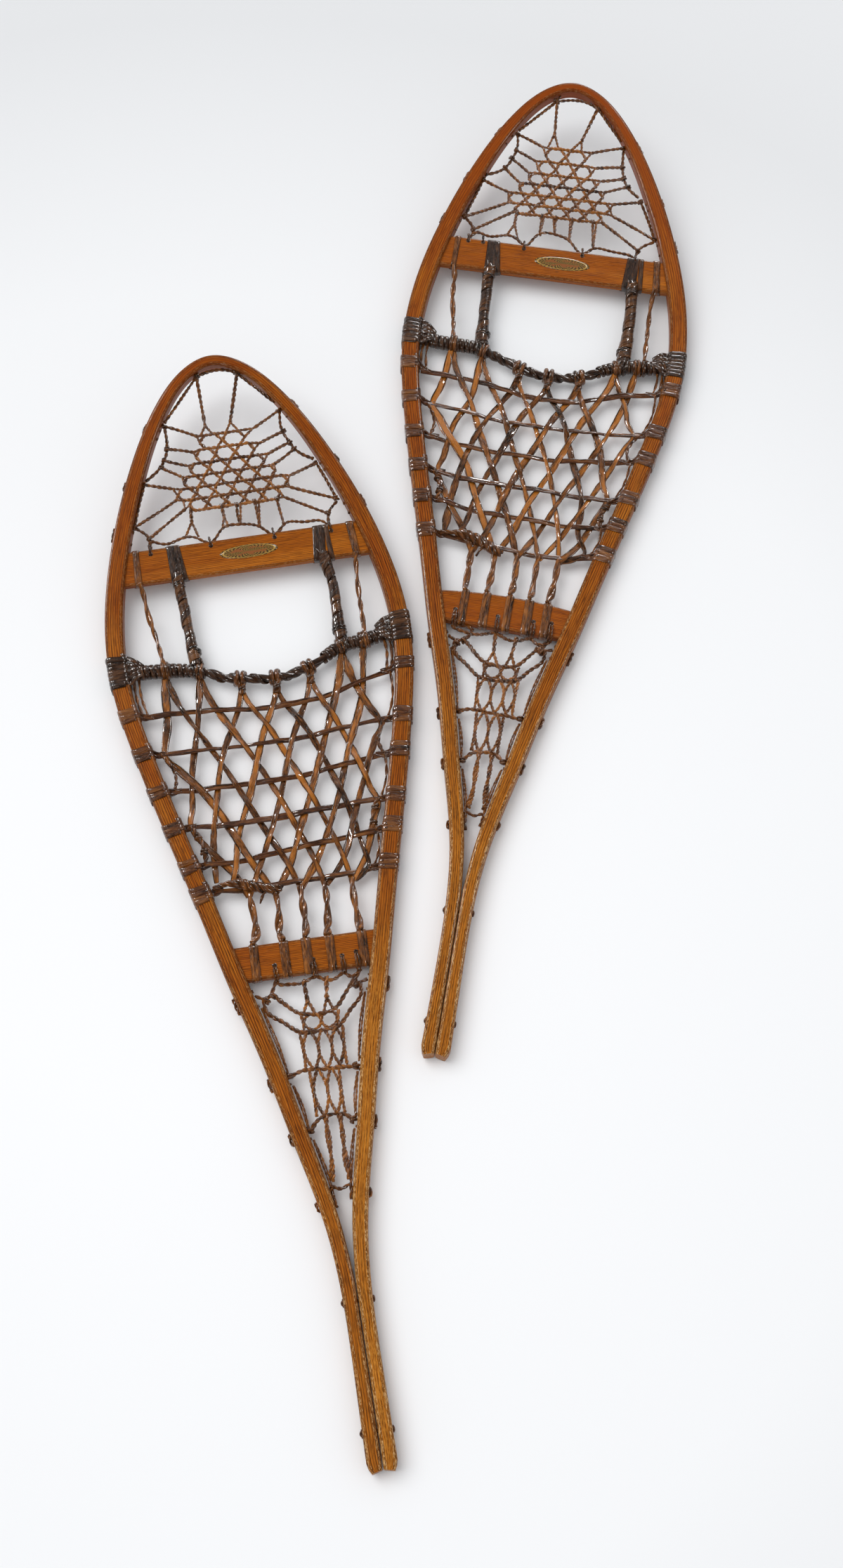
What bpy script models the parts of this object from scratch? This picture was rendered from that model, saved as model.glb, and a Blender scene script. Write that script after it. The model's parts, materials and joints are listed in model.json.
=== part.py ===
"""A pair of traditional laced wooden snowshoes, laid side by side on the ground.

Each shoe is one long ash batten, steam bent round the toe, with its two ends riveted
together as the tail. Two crossbars are tenoned into it. Rawhide lacing fills the three
openings: a fine net in the toe, a coarse net under the foot, a fine net in the tail.
The fine nets hang on a selvage cord threaded through paired holes in the batten, the
foot net hangs on the heavy master cord behind the toe hole and is tied to the batten by
cross strands with flat rawhide wraps.

Metres, +Z up. The origin is on the ground, in the middle of the pair's bounding box.
Inside a shoe, x runs across it, y runs from the tail end to the toe.
"""

import math

import bmesh
import bpy
import numpy as np
from mathutils import Matrix, Vector

# ------------------------------------------------------------------ driving dimensions
LENGTH = 1.219  # tail end to toe apex, 48 in
BOTTOM = 0.0024  # underside of the batten: the wraps below it touch the ground
TOP = 0.0225  # upper face of the batten
GAP = 0.0003  # clearance between neighbouring pieces
SEAM = 0.0004  # between the two ends of the batten in the tail
CHAMFER = 0.0036  # eased long edges of the batten

# half width of the outer edge at distances from the tail end
HALF_OUTLINE = (
    (0.0, 0.0150), (0.09, 0.0141), (0.18, 0.0157), (0.23, 0.0211), (0.27, 0.0290),
    (0.32, 0.0410), (0.40, 0.0596), (0.49, 0.0839), (0.58, 0.1065), (0.67, 0.1298),
    (0.76, 0.1518), (0.85, 0.1671), (0.94, 0.1630), (1.029, 0.1408), (1.1106, 0.1074),
    (1.174, 0.0687), (1.209, 0.0315), (LENGTH, 0.0),
)  # fmt: skip
# the batten is shaved thinner towards the tail ends and round the toe bend
BATTEN_WIDTH = (
    (0.0, 0.0147), (0.20, 0.0150), (0.30, 0.0168), (0.40, 0.0186), (0.50, 0.0196),
    (0.70, 0.0203), (1.00, 0.0203), (1.10, 0.0178), (1.17, 0.0145), (LENGTH, 0.0116),
)  # fmt: skip
STATIONS_PER_SIDE = 25

TOE_LIFT, LIFT_START = 0.0566, 0.806  # the toe turns up
BAR_LOW, BAR_HIGH = 0.0085, 0.0185  # crossbar faces
TENON_DEPTH = 0.0090
CORD_Z = 0.0112  # height of the selvage cords and their holes
CORD_R, HOLE_R = 0.0014, 0.0021
NET_LOW, NET_HIGH = 0.0131, 0.0149  # fine nets, just above the selvages
FOOT_LOW, FOOT_HIGH = 0.0096, 0.0116  # diagonal strands of the foot net
WEFT_LOW, WEFT_HIGH = 0.0120, 0.0138  # cross strands of the foot net
MASTER_R, MASTER_Z = 0.0060, 0.0130
WRAP_T = 0.0020  # thickness of a rawhide wrap
RIVET_Y = (0.036, 0.157)

# one line per shoe: where its tail end lies, its heading, and how its toe and tail wander
SHOES = {
    "left": dict(at=(-0.0153, -0.8021), turn=9.58, toe_bend=-0.0065, tail_bend=-0.0006,
                 front_skew=-0.0043, rear_skew=-0.0203, rear_arch=0.0, outboard=-1),
    "right": dict(at=(0.0368, -0.4069), turn=-8.37, toe_bend=-0.0091, tail_bend=-0.0047,
                  front_skew=-0.0074, rear_skew=-0.0380, rear_arch=0.0050, outboard=1),
}  # fmt: skip
FRONT_BAR = (0.9633, 1.0034)  # rear and front edges on the centre line
REAR_BAR = (0.4895, 0.5270)

# colour, roughness, metallic
FINISHES = {
    "ash_varnished": ((0.42, 0.13, 0.02), 0.28, 0.0),
    "rawhide_dark": ((0.085, 0.032, 0.012), 0.35, 0.0),
    "rawhide_net": ((0.24, 0.10, 0.025), 0.38, 0.0),
    "rivet_copper": ((0.22, 0.10, 0.05), 0.45, 1.0),
    "oval_transfer": ((0.55, 0.33, 0.06), 0.30, 0.0),
}

for old in list(bpy.data.objects):
    bpy.data.objects.remove(old, do_unlink=True)

parts = bpy.data.collections.new("snowshoes")
tools = bpy.data.collections.new("cutters")
for c in (parts, tools):
    bpy.context.scene.collection.children.link(c)

materials = {}
for slot, (colour, rough, metal) in FINISHES.items():
    m = bpy.data.materials.new(slot)
    m.use_nodes = True
    shader = m.node_tree.nodes["Principled BSDF"]
    shader.inputs["Base Color"].default_value = (*colour, 1.0)
    shader.inputs["Roughness"].default_value = rough
    shader.inputs["Metallic"].default_value = metal
    materials[slot] = m


# ------------------------------------------------------------------ the batten's path
def natural_spline(points):
    """Natural cubic spline through points by chord length: returns f(s) and its length."""
    p = np.array(points, float)
    s = np.concatenate([[0], np.cumsum(np.hypot(*np.diff(p, axis=0).T))])
    n, h = len(s), np.diff(s)
    a, rhs = np.eye(n), np.zeros((n, 2))
    for i in range(1, n - 1):
        a[i, i - 1 : i + 2] = h[i - 1], 2 * (h[i - 1] + h[i]), h[i]
        rhs[i] = 6 * ((p[i + 1] - p[i]) / h[i] - (p[i] - p[i - 1]) / h[i - 1])
    m = np.linalg.solve(a, rhs)

    def at(q):
        q = np.clip(np.atleast_1d(q), 0, s[-1])
        i = np.clip(np.searchsorted(s, q, side="right") - 1, 0, n - 2)
        t, u, w = (q - s[i])[:, None], (s[i + 1] - q)[:, None], h[i][:, None]
        return (m[i] * u**3 + m[i + 1] * t**3) / (6 * w) + (
            p[i] / w - m[i] * w / 6
        ) * u + (p[i + 1] / w - m[i + 1] * w / 6) * t

    return at, s[-1]


right_edge = [(x, y) for y, x in HALF_OUTLINE]
full_edge = right_edge + [(-x, y) for x, y in right_edge[-2::-1]]
edge_at, edge_length = natural_spline(full_edge)


def batten_section(s):
    """Outer point, inner point of the batten at arc length s (right tail end to left)."""
    p = edge_at(s)[0]
    d = edge_at(s + 1e-4)[0] - edge_at(s - 1e-4)[0]
    d /= np.hypot(*d)
    inward = np.array([-d[1], d[0]])
    width = np.interp(p[1], *zip(*BATTEN_WIDTH))
    q = p + inward * width
    side = 1 if s < edge_length / 2 else -1
    if q[0] * side < SEAM / 2 and p[1] < 0.5:  # the two ends lie together in the tail
        q = np.array([side * SEAM / 2, p[1]])
    return p, q


half = edge_length / 2
fractions = 1 - (1 - np.linspace(0, 1, STATIONS_PER_SIDE)) ** 1.25
stations = [f * half for f in fractions]
stations += [edge_length - s for s in stations[-2::-1]]
sections = [batten_section(s) for s in stations]
MID = len(sections) // 2


def between(side, y):
    """Outer and inner points of the faceted batten on one side (+1 right) at height y."""
    run = sections[: MID + 1] if side > 0 else sections[MID:][::-1]
    for (p0, q0), (p1, q1) in zip(run, run[1:]):
        if p0[1] <= y <= p1[1] or p1 is run[-1][0]:
            t = (y - p0[1]) / (p1[1] - p0[1])
            return p0 + (p1 - p0) * t, q0 + (q1 - q0) * t
    raise ValueError(y)


def inner_x(side, y):
    """x of the batten's inner wall where it crosses the line of constant y."""
    run = sections[: MID + 1] if side > 0 else sections[MID:][::-1]
    for (_, q0), (_, q1) in zip(run, run[1:]):
        if q0[1] <= y <= q1[1]:
            return q0[0] + (q1[0] - q0[0]) * (y - q0[1]) / (q1[1] - q0[1])
    raise ValueError(y)


def ring_of(p, q, grow=0.0):
    """Eight points round the batten's section, grown outwards by a clearance."""
    p, q = Vector(p), Vector(q)
    d = (q - p).normalized()
    a, b = p - d * grow, q + d * grow
    c = CHAMFER + grow * 0.59
    lo, hi = BOTTOM - grow, TOP + grow
    return [
        (*(a + d * c), hi), (*a, hi - c), (*a, lo + c), (*(a + d * c), lo),
        (*(b - d * c), lo), (*b, lo + c), (*b, hi - c), (*(b - d * c), hi),
    ]  # fmt: skip


# ------------------------------------------------------------------ making meshes
class Shoe:
    """Names, places and shapes the pieces of one shoe."""

    def __init__(self, name, spec):
        self.name, self.spec = name, spec
        self.empty = bpy.data.objects.new(f"{name}_shoe", None)
        self.empty.location = (*spec["at"], 0)
        self.empty.rotation_euler = (0, 0, math.radians(spec["turn"]))
        parts.objects.link(self.empty)

    def bend(self, co):
        """A flat-drawn point moved to the bent shoe: sideways wander and turned-up toe."""
        x, y, z = co
        x += self.spec["toe_bend"] * max(0, (y - 0.75) / (LENGTH - 0.75)) ** 2
        x += self.spec["tail_bend"] * max(0, (0.45 - y) / 0.45) ** 2
        run = LENGTH - LIFT_START
        t = max(0.0, (y - LIFT_START) / run)
        slope = 2 * TOE_LIFT * t / run
        k = 1 / math.sqrt(1 + slope * slope)
        drop = z - TOP
        return x, y - drop * slope * k, TOP + TOE_LIFT * t * t + drop * k

    def add(self, node, mesh, slot, smooth=None):
        """A mesh drawn flat becomes a named part of this shoe."""
        for v in mesh.vertices:
            v.co = self.bend(v.co)
        ob = bpy.data.objects.new(f"{self.name}_{node}", mesh)
        mesh.materials.clear()
        mesh.materials.append(materials[slot])
        ob.parent = self.empty
        parts.objects.link(ob)
        if smooth:
            mesh.shade_smooth()
            mesh.set_sharp_from_angle(angle=math.radians(smooth))
        return ob


def finished(bm, name):
    bmesh.ops.remove_doubles(bm, verts=bm.verts[:], dist=1e-6)
    bmesh.ops.recalc_face_normals(bm, faces=bm.faces[:])
    mesh = bpy.data.meshes.new(name)
    bm.to_mesh(mesh)
    bm.free()
    return mesh


def from_curve(data, name):
    """The mesh of a curve, with its loose caps and fills welded to its walls."""
    ob = bpy.data.objects.new(name, data)
    tools.objects.link(ob)
    dg = bpy.context.evaluated_depsgraph_get()
    mesh = bpy.data.meshes.new_from_object(ob.evaluated_get(dg))
    bpy.data.objects.remove(ob, do_unlink=True)
    bm = bmesh.new()
    bm.from_mesh(mesh)
    return finished(bm, name)


def plate(name, outlines, low, high):
    """A flat piece: closed outlines (the first is its edge, the rest are its openings)."""
    data = bpy.data.curves.new(name, "CURVE")
    data.dimensions, data.fill_mode = "2D", "BOTH"
    data.extrude = (high - low) / 2
    data.resolution_u = data.render_resolution_u = 1
    for line in outlines:
        s = data.splines.new("POLY")
        s.points.add(len(line) - 1)
        s.use_cyclic_u = True
        for point, (x, y) in zip(s.points, line):
            point.co = (x, y, 0, 1)
    mesh = from_curve(data, name)
    for v in mesh.vertices:
        v.co.z += (low + high) / 2
    return mesh


def tube(name, path, radius, resolution=1, closed=False):
    """A round cord along a path of 3-D points."""
    data = bpy.data.curves.new(name, "CURVE")
    data.dimensions = "3D"
    data.bevel_depth, data.bevel_resolution = radius, resolution
    data.use_fill_caps = not closed
    data.resolution_u = data.render_resolution_u = 1
    s = data.splines.new("POLY")
    s.points.add(len(path) - 1)
    s.use_cyclic_u = closed
    for point, co in zip(s.points, path):
        point.co = (*co, 1)
    return from_curve(data, name)


def sleeve(name, outer, inner):
    """A short open sleeve lofted between rings: outer and inner skins and two rims."""
    bm = bmesh.new()
    o = [[bm.verts.new(co) for co in ring] for ring in outer]
    i = [[bm.verts.new(co) for co in ring] for ring in inner]
    n = len(o[0])
    for a, b in zip(o, o[1:]):
        for k in range(n):
            bm.faces.new((a[k], a[(k + 1) % n], b[(k + 1) % n], b[k]))
    for a, b in zip(i, i[1:]):
        for k in range(n):
            bm.faces.new((a[k], b[k], b[(k + 1) % n], a[(k + 1) % n]))
    for a, b in ((o[0], i[0]), (i[-1], o[-1])):
        for k in range(n):
            bm.faces.new((a[k], b[k], b[(k + 1) % n], a[(k + 1) % n]))
    return finished(bm, name)


def batten_wrap(side, y0, y1, thick=WRAP_T, gap=GAP + 0.0001):
    """A rawhide wrap closed round the batten between two heights."""
    run = sections[: MID + 1] if side > 0 else sections[MID:]
    cuts = [y0] + sorted(p[1] for p, _ in run if y0 + 0.002 < p[1] < y1 - 0.002) + [y1]
    rings = [between(side, y) for y in cuts]
    return sleeve(
        "wrap",
        [ring_of(p, q, gap + thick) for p, q in rings],
        [ring_of(p, q, gap) for p, q in rings],
    )


def bar_wrap(bar, x, width, skew, thick=0.0016):
    """A flat rawhide loop round a crossbar at x."""
    y0, y1 = bar[0] + skew * x, bar[1] + skew * x

    def ring(at, g):
        dy = skew * (at - x)
        return [
            (at, y0 + dy - g, BAR_LOW - g), (at, y1 + dy + g, BAR_LOW - g),
            (at, y1 + dy + g, BAR_HIGH + g), (at, y0 + dy - g, BAR_HIGH + g),
        ]  # fmt: skip

    ends = (x - width / 2, x + width / 2)
    return sleeve(
        "bar_wrap",
        [ring(e, GAP + thick) for e in ends],
        [ring(e, GAP) for e in ends],
    )


def cord_loop(path, x, width, radius=MASTER_R, thick=0.0017):
    """A rawhide loop round the master cord where it passes x."""
    k = max(i for i, p in enumerate(path[:-1]) if p[0] <= x)
    a, b = Vector(path[k]), Vector(path[k + 1])
    c = a + (b - a) * ((x - a.x) / (b.x - a.x))
    d = (b - a).normalized()
    side = d.cross(Vector((0, 0, 1))).normalized()

    def ring(at, r):
        return [
            tuple(at + side * (r * math.cos(t)) + Vector((0, 0, r * math.sin(t))))
            for t in (math.tau * (j + 0.5) / 8 for j in range(8))
        ]

    inner = (radius + GAP + 0.0003) / math.cos(math.pi / 8)
    ends = (c - d * width / 2, c + d * width / 2)
    return c, sleeve(
        "cord_loop",
        [ring(e, inner + thick) for e in ends],
        [ring(e, inner) for e in ends],
    )


def boolean(ob, meshes, operation, shoe):
    """Join or cut closed meshes into an object and keep the evaluated result."""
    bm = bmesh.new()
    if operation == "DIFFERENCE":
        for mesh in meshes:
            bm.from_mesh(mesh)
        joined = [bm]
    else:
        joined = []
        for mesh in meshes:
            one = bmesh.new()
            one.from_mesh(mesh)
            joined.append(one)
        bm.free()
    for k, one in enumerate(joined):
        mesh = bpy.data.meshes.new("tool")
        one.to_mesh(mesh)
        one.free()
        for v in mesh.vertices:
            v.co = shoe.bend(v.co)
        tool = bpy.data.objects.new(f"{ob.name}_tool_{k}", mesh)
        tool.parent = shoe.empty
        tool.hide_render, tool.display_type = True, "WIRE"
        tools.objects.link(tool)
        mod = ob.modifiers.new(f"{operation.lower()}_{k}", "BOOLEAN")
        mod.operation, mod.object, mod.solver = operation, tool, "EXACT"


# ------------------------------------------------------------------ flat nets
def net_outlines(strands, half_width, merge=0.0012, smallest=9e-6):
    """The edge and the openings of a net of straight strands, all of one width.

    The strands are cut where they cross, the cells between them are walked one by one,
    and each cell is drawn smaller by half a strand's width."""
    segments = [
        (np.array(a, float), np.array(b, float))
        for line in strands
        for a, b in zip(line, line[1:])
    ]
    nodes, links = [], {}

    def node(p):
        for k, q in enumerate(nodes):
            if np.hypot(*(p - q)) < merge:
                return k
        nodes.append(p)
        return len(nodes) - 1

    for i, (a, b) in enumerate(segments):
        r = b - a
        length = np.hypot(*r)
        marks = [0.0, 1.0]
        for j, (c, e) in enumerate(segments):
            s = e - c
            cross = r[0] * s[1] - r[1] * s[0]
            if i == j or abs(cross) < 1e-9:
                continue
            t = ((c - a)[0] * s[1] - (c - a)[1] * s[0]) / cross
            u = ((c - a)[0] * r[1] - (c - a)[1] * r[0]) / cross
            near, far = 0.0010 / length, 0.0010 / np.hypot(*s)
            if -near <= t <= 1 + near and -far <= u <= 1 + far:
                marks.append(min(1.0, max(0.0, t)))
        ids = [node(a + r * t) for t in sorted(marks)]
        for k, m in zip(ids, ids[1:]):
            if k != m:
                links.setdefault(k, set()).add(m)
                links.setdefault(m, set()).add(k)

    fans = {
        k: sorted(to, key=lambda m: math.atan2(*(nodes[m] - nodes[k])[::-1]))
        for k, to in links.items()
    }
    left = {(k, m) for k in fans for m in fans[k]}
    edge, openings = None, []
    while left:
        start = min(left)
        walk, step = [], start
        while step in left:
            left.discard(step)
            walk.append(step[0])
            k, m = step
            fan = fans[m]
            step = (m, fan[(fan.index(k) - 1) % len(fan)])
        loop = [nodes[k] for k in walk]
        ring = drawn_in(loop, half_width)
        area = sum(
            p[0] * q[1] - q[0] * p[1] for p, q in zip(loop, loop[1:] + loop[:1])
        ) / 2
        if area < 0:
            edge = ring if edge is None or len(ring) > len(edge) else edge
        else:
            inner = sum(
                p[0] * q[1] - q[0] * p[1] for p, q in zip(ring, ring[1:] + ring[:1])
            ) / 2
            if inner > smallest and not crosses_itself(ring):
                openings.append(ring)
    return [edge] + openings


def drawn_in(loop, half_width):
    """A closed loop moved to its left by half a strand's width, with square strand ends."""
    ring, n = [], len(loop)
    for k in range(n):
        a, b, c = loop[k - 1], loop[k], loop[(k + 1) % n]
        d, e = (b - a) / np.hypot(*(b - a)), (c - b) / np.hypot(*(c - b))
        nd, ne = np.array([-d[1], d[0]]), np.array([-e[1], e[0]])
        turn = math.atan2(d[0] * e[1] - d[1] * e[0], d @ e)
        if turn < -2.0 or turn > 3.1:  # round a strand's end
            ring += [b + nd * half_width, b + ne * half_width]
        else:
            m = nd + ne
            ring.append(b + m * (half_width / (m @ nd)))
    return ring


def crosses_itself(ring):
    n = len(ring)
    for i in range(n):
        a, b = ring[i], ring[(i + 1) % n]
        for j in range(i + 2, n):
            if (j + 1) % n == i:
                continue
            c, d = ring[j], ring[(j + 1) % n]
            r, s = b - a, d - c
            cross = r[0] * s[1] - r[1] * s[0]
            if abs(cross) < 1e-12:
                continue
            t = ((c - a)[0] * s[1] - (c - a)[1] * s[0]) / cross
            u = ((c - a)[0] * r[1] - (c - a)[1] * r[0]) / cross
            if 0 < t < 1 and 0 < u < 1:
                return True
    return False


def kagome(top, rows, pitch, drop, centre=0.0):
    """Strands of a hexagon-and-triangle net: rows of cells, the topmost first."""
    strands, seen = [], set()

    def strand(a, b):
        key = tuple(sorted((tuple(np.round(a, 4)), tuple(np.round(b, 4)))))
        if key not in seen:
            seen.add(key)
            strands.append([a, b])

    for r, cells in enumerate(rows):
        cy = top - drop * (r + 0.5)
        for k in range(cells):
            cx = centre + (k - (cells - 1) / 2) * pitch
            corners = [
                (cx + sx * pitch / 4, cy + sy * drop / 2)
                for sx, sy in ((-1, 1), (1, 1), (2, 0), (1, -1), (-1, -1), (-2, 0))
            ]
            for a, b in zip(corners, corners[1:] + corners[:1]):
                strand(a, b)
            if k:  # the closing sides of the triangles between two cells
                for sy in (-1, 1):
                    strand(
                        (cx - 3 * pitch / 4, cy + sy * drop / 2),
                        (cx - pitch / 4, cy + sy * drop / 2),
                    )
    return strands


def mm(*points):
    return [(x / 1000, y / 1000) for x, y in points]


# ------------------------------------------------------------------ one shoe
def crossbar(shoe, node, bar, skew, arch, holes):
    """A crossbar with a tenon at each end, and the cutters of its two mortises."""

    def y_at(x, edge):
        rise = arch * (1 - (x / 0.07) ** 2) if edge == 1 else 0
        return bar[edge] + skew * x + rise

    def meet(side, base):
        """Where the sloping line at height base meets the inner wall."""
        x = inner_x(side, base)
        for _ in range(12):
            x = inner_x(side, base + skew * x)
        return x, base + skew * x

    width = bar[1] - bar[0]
    ends, mortises = {}, []
    for side in (1, -1):
        low, t0 = meet(side, bar[0]), meet(side, bar[0] + 0.2 * width)
        t1, high = meet(side, bar[1] - 0.2 * width), meet(side, bar[1])
        g, d = side * GAP, side * TENON_DEPTH
        ends[side] = [
            (low[0] - g, low[1]), (t0[0] - g, t0[1]), (t0[0] + d, t0[1]),
            (t1[0] + d, t1[1]), (t1[0] - g, t1[1]), (high[0] - g, high[1]),
        ]  # fmt: skip
        mortises.append(
            plate(
                "mortise",
                [[
                    (t0[0] - side * 0.006, t0[1] - GAP), (t0[0] + d + g, t0[1] - GAP),
                    (t1[0] + d + g, t1[1] + GAP), (t1[0] - side * 0.006, t1[1] + GAP),
                ]],
                BAR_LOW - GAP,
                BAR_HIGH + GAP,
            )
        )  # fmt: skip
    top = []
    if arch:
        a, b = ends[1][-1][0], ends[-1][-1][0]
        top = [(x, y_at(x, 1)) for x in np.linspace(a, b, 9)[1:-1]]
    edge = ends[1] + top + ends[-1][::-1]
    rings = [edge]
    for x, y in holes:
        rings.append(
            [
                (x + HOLE_R * math.cos(t), y + HOLE_R * math.sin(t))
                for t in (math.tau * j / 8 for j in range(8))
            ]
        )
    mesh = plate(node, rings, BAR_LOW, BAR_HIGH)
    shoe.add(node, mesh, "ash_varnished")
    return mortises


def anchor(side, y, reach):
    """A point on the axis of a lacing hole: reach 0 on the inner wall, 1 on the outer."""
    p, q = between(side, y)
    d = p - q
    return q + d * reach, d / np.hypot(*d)


def lacing_hole(side, y):
    """Cutter of a hole through the batten from its inner to its outer wall."""
    (p, d), (q, _) = anchor(side, y, 1), anchor(side, y, 0)
    a, b = p + d * 0.004, q - d * 0.004
    return tube("hole", [(*a, CORD_Z), (*b, CORD_Z)], HOLE_R)


def through(side, pair):
    """Path of a cord out through one hole of a pair and back in through the other."""
    path = []
    for k, y in enumerate(pair):
        (p, d), (q, _) = anchor(side, y, 1), anchor(side, y, 0)
        leg = [q - d * 0.003, p + d * (CORD_R + GAP + 0.0003)]
        path += leg if k == 0 else leg[::-1]
    return [(*p, CORD_Z) for p in path]


def round_edge(x, y, edge_y, ahead):
    """Path of a cord round a crossbar's edge and down through the hole near it."""
    high, low = BAR_HIGH + GAP + CORD_R, BAR_LOW - GAP - CORD_R
    out = edge_y + ahead * (CORD_R + GAP + 0.0012)
    return [
        (x - 0.0030, out + ahead * 0.0010, CORD_Z), (x - 0.0022, out, high),
        (x, y, high), (x, y, low),
        (x + 0.0022, out, low), (x + 0.0030, out + ahead * 0.0010, CORD_Z),
    ]  # fmt: skip


def flat(points, z=CORD_Z):
    return [(x / 1000, y / 1000, z) for x, y in points]


def turned(profile, y, z, flip=1):
    """A turned piece on an axis across the tail, from (distance, radius) pairs."""
    bm = bmesh.new()
    ring = [bm.verts.new((r, 0, a)) for a, r in profile]
    for a, b in zip(ring, ring[1:]):
        bm.edges.new((a, b))
    bmesh.ops.spin(
        bm, geom=bm.verts[:] + bm.edges[:], axis=(0, 0, 1), cent=(0, 0, 0),
        angle=math.tau, steps=10, use_duplicate=False,
    )  # fmt: skip
    turn = Matrix.Rotation(math.radians(90 * flip), 4, "Y")
    bmesh.ops.transform(bm, matrix=Matrix.Translation((0, y, z)) @ turn, verts=bm.verts[:])
    return finished(bm, "turned")


def build_shoe(name, spec):
    shoe = Shoe(name, spec)
    out = spec["outboard"]
    fs, rs = spec["front_skew"], spec["rear_skew"]
    front_edge = lambda x: FRONT_BAR[1] + fs * x  # noqa: E731
    rear_edge = lambda x: REAR_BAR[0] + rs * x  # noqa: E731

    # ---- batten
    bm = bmesh.new()
    rings = [[bm.verts.new(co) for co in ring_of(p, q)] for p, q in sections]
    for a, b in zip(rings, rings[1:]):
        for k in range(8):
            bm.faces.new((a[k], a[(k + 1) % 8], b[(k + 1) % 8], b[k]))
    bm.faces.new(rings[0])
    bm.faces.new(rings[-1][::-1])
    bow = shoe.add("bow", finished(bm, "bow"), "ash_varnished")

    # ---- crossbars with lacing holes near the edge that faces the net
    front_loops, rear_loops = (-0.104, -0.036, 0.036, 0.100), (-0.038, 0.012, 0.040)
    cutters = crossbar(
        shoe, "front_crossbar", FRONT_BAR, fs, 0.0,
        [(x, front_edge(x) - 0.0045) for x in front_loops],
    )  # fmt: skip
    cutters += crossbar(
        shoe, "rear_crossbar", REAR_BAR, rs, spec["rear_arch"],
        [(x, rear_edge(x) + 0.0060) for x in rear_loops],
    )  # fmt: skip

    # ---- lacing holes in the batten: pairs for the selvages, one pair at the apex
    toe_pairs = ((1.153, 1.143), (1.088, 1.079), (1.035, 1.024))
    tail_pairs = ((0.474, 0.462), (0.391, 0.379), (0.329, 0.318), (0.266, 0.257))
    for side in (1, -1):
        for pair in toe_pairs + tail_pairs:
            cutters += [lacing_hole(side, y) for y in pair]
    for y in RIVET_Y:
        cutters.append(tube("rivet_hole", [(0.03, y, 0.0124), (-0.03, y, 0.0124)], 0.0021))
    boolean(bow, cutters, "DIFFERENCE", shoe)

    # ---- tail rivets, each headed over a burr
    for tag, y in zip(("rear", "front"), RIVET_Y):
        a, b = between(1, y)[0][0], between(-1, y)[0][0]
        burr_out = b - GAP - 0.0008
        profile = [
            (a + GAP, 0.0), (a + GAP, 0.0016), (a + GAP + 0.0001, 0.0036),
            (a + GAP + 0.0012, 0.0028), (a + GAP + 0.0018, 0.0),
        ]  # fmt: skip
        profile = [
            (burr_out - GAP - 0.0016, 0.0), (burr_out - GAP - 0.0011, 0.0024),
            (burr_out - GAP, 0.0030), (burr_out - GAP, 0.0016),
        ] + profile[1:]  # fmt: skip
        shoe.add(f"tail_rivet_{tag}", turned(profile, y, 0.0124), "rivet_copper", 40)
        rings_out = [
            [(x, y + 0.0042 * math.cos(t), 0.0124 + 0.0042 * math.sin(t))
             for t in (math.tau * j / 10 for j in range(10))]
            for x in (b - GAP, b - GAP - 0.0008)
        ]  # fmt: skip
        rings_in = [
            [(x, y + 0.0021 * math.cos(t), 0.0124 + 0.0021 * math.sin(t))
             for t in (math.tau * j / 10 for j in range(10))]
            for x in (b - GAP, b - GAP - 0.0008)
        ]  # fmt: skip
        shoe.add(f"tail_burr_{tag}", sleeve("burr", rings_out, rings_in), "rivet_copper")

    # ---- oval transfer on the front crossbar
    cy = sum(FRONT_BAR) / 2
    oval = [
        (0.006 + 0.033 * math.cos(t), cy + 0.008 * math.sin(t))
        for t in (math.tau * j / 20 for j in range(20))
    ]
    oval = [(x, y + fs * x) for x, y in oval]
    shoe.add(
        "oval_transfer",
        plate("oval", [oval], BAR_HIGH + 0.0002, BAR_HIGH + 0.0005),
        "oval_transfer",
    )

    # ---- toe selvage: a cord through the paired holes and round the crossbar's edge
    path = flat([(-20, 1192), (26, 1192), (45, 1174)])
    path += through(1, toe_pairs[0])
    path += flat([(66, 1122), (76, 1098)])
    path += through(1, toe_pairs[1])
    path += flat([(100, 1058)])
    path += through(1, toe_pairs[2])
    path += flat([(108, 1014)])
    for x, ahead in zip(front_loops[::-1], (76, 14, -68, None)):
        path += round_edge(x, front_edge(x) - 0.0045, front_edge(x), 1)[::-1]
        if ahead is not None:
            path += flat([(ahead, 1000 * front_edge(ahead / 1000) + 11)])
    path += flat([(-110, 1014)])
    path += through(-1, toe_pairs[2][::-1])
    path += flat([(-100, 1058)])
    path += through(-1, toe_pairs[1][::-1])
    path += flat([(-78, 1098), (-67, 1122)])
    path += through(-1, toe_pairs[0][::-1])
    path += flat([(-42, 1174)])
    shoe.add("toe_selvage", tube("toe_selvage", path, CORD_R, 0, True), "rawhide_net", 50)

    # ---- toe net
    net = kagome(1.131, (2, 3, 4, 5, 4), 0.0245, 0.0172)
    right_side = [
        ((26, 1191), (6.125, 1131)), ((60, 1148), (18.375, 1131)),
        ((67, 1121), (36.75, 1105.2)), ((76, 1097), (49, 1088)),
        ((93, 1081), (61.25, 1070.8)), ((101, 1058), (61.25, 1070.8)),
        ((104, 1030), (49, 1053.6)), ((76, 1015), (42.875, 1045)),
        ((15, 1014), (18.375, 1045)),
    ]  # fmt: skip
    for a, b in right_side:
        net.append(mm(a, b))
        net.append(mm((-a[0], a[1]), (-b[0], b[1])))
    net.append(mm((-2, 1017), (-6.125, 1045)))
    shoe.add(
        "toe_net",
        plate("toe_net", net_outlines(net, 0.0014), NET_LOW, NET_HIGH),
        "rawhide_net",
    )

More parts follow.
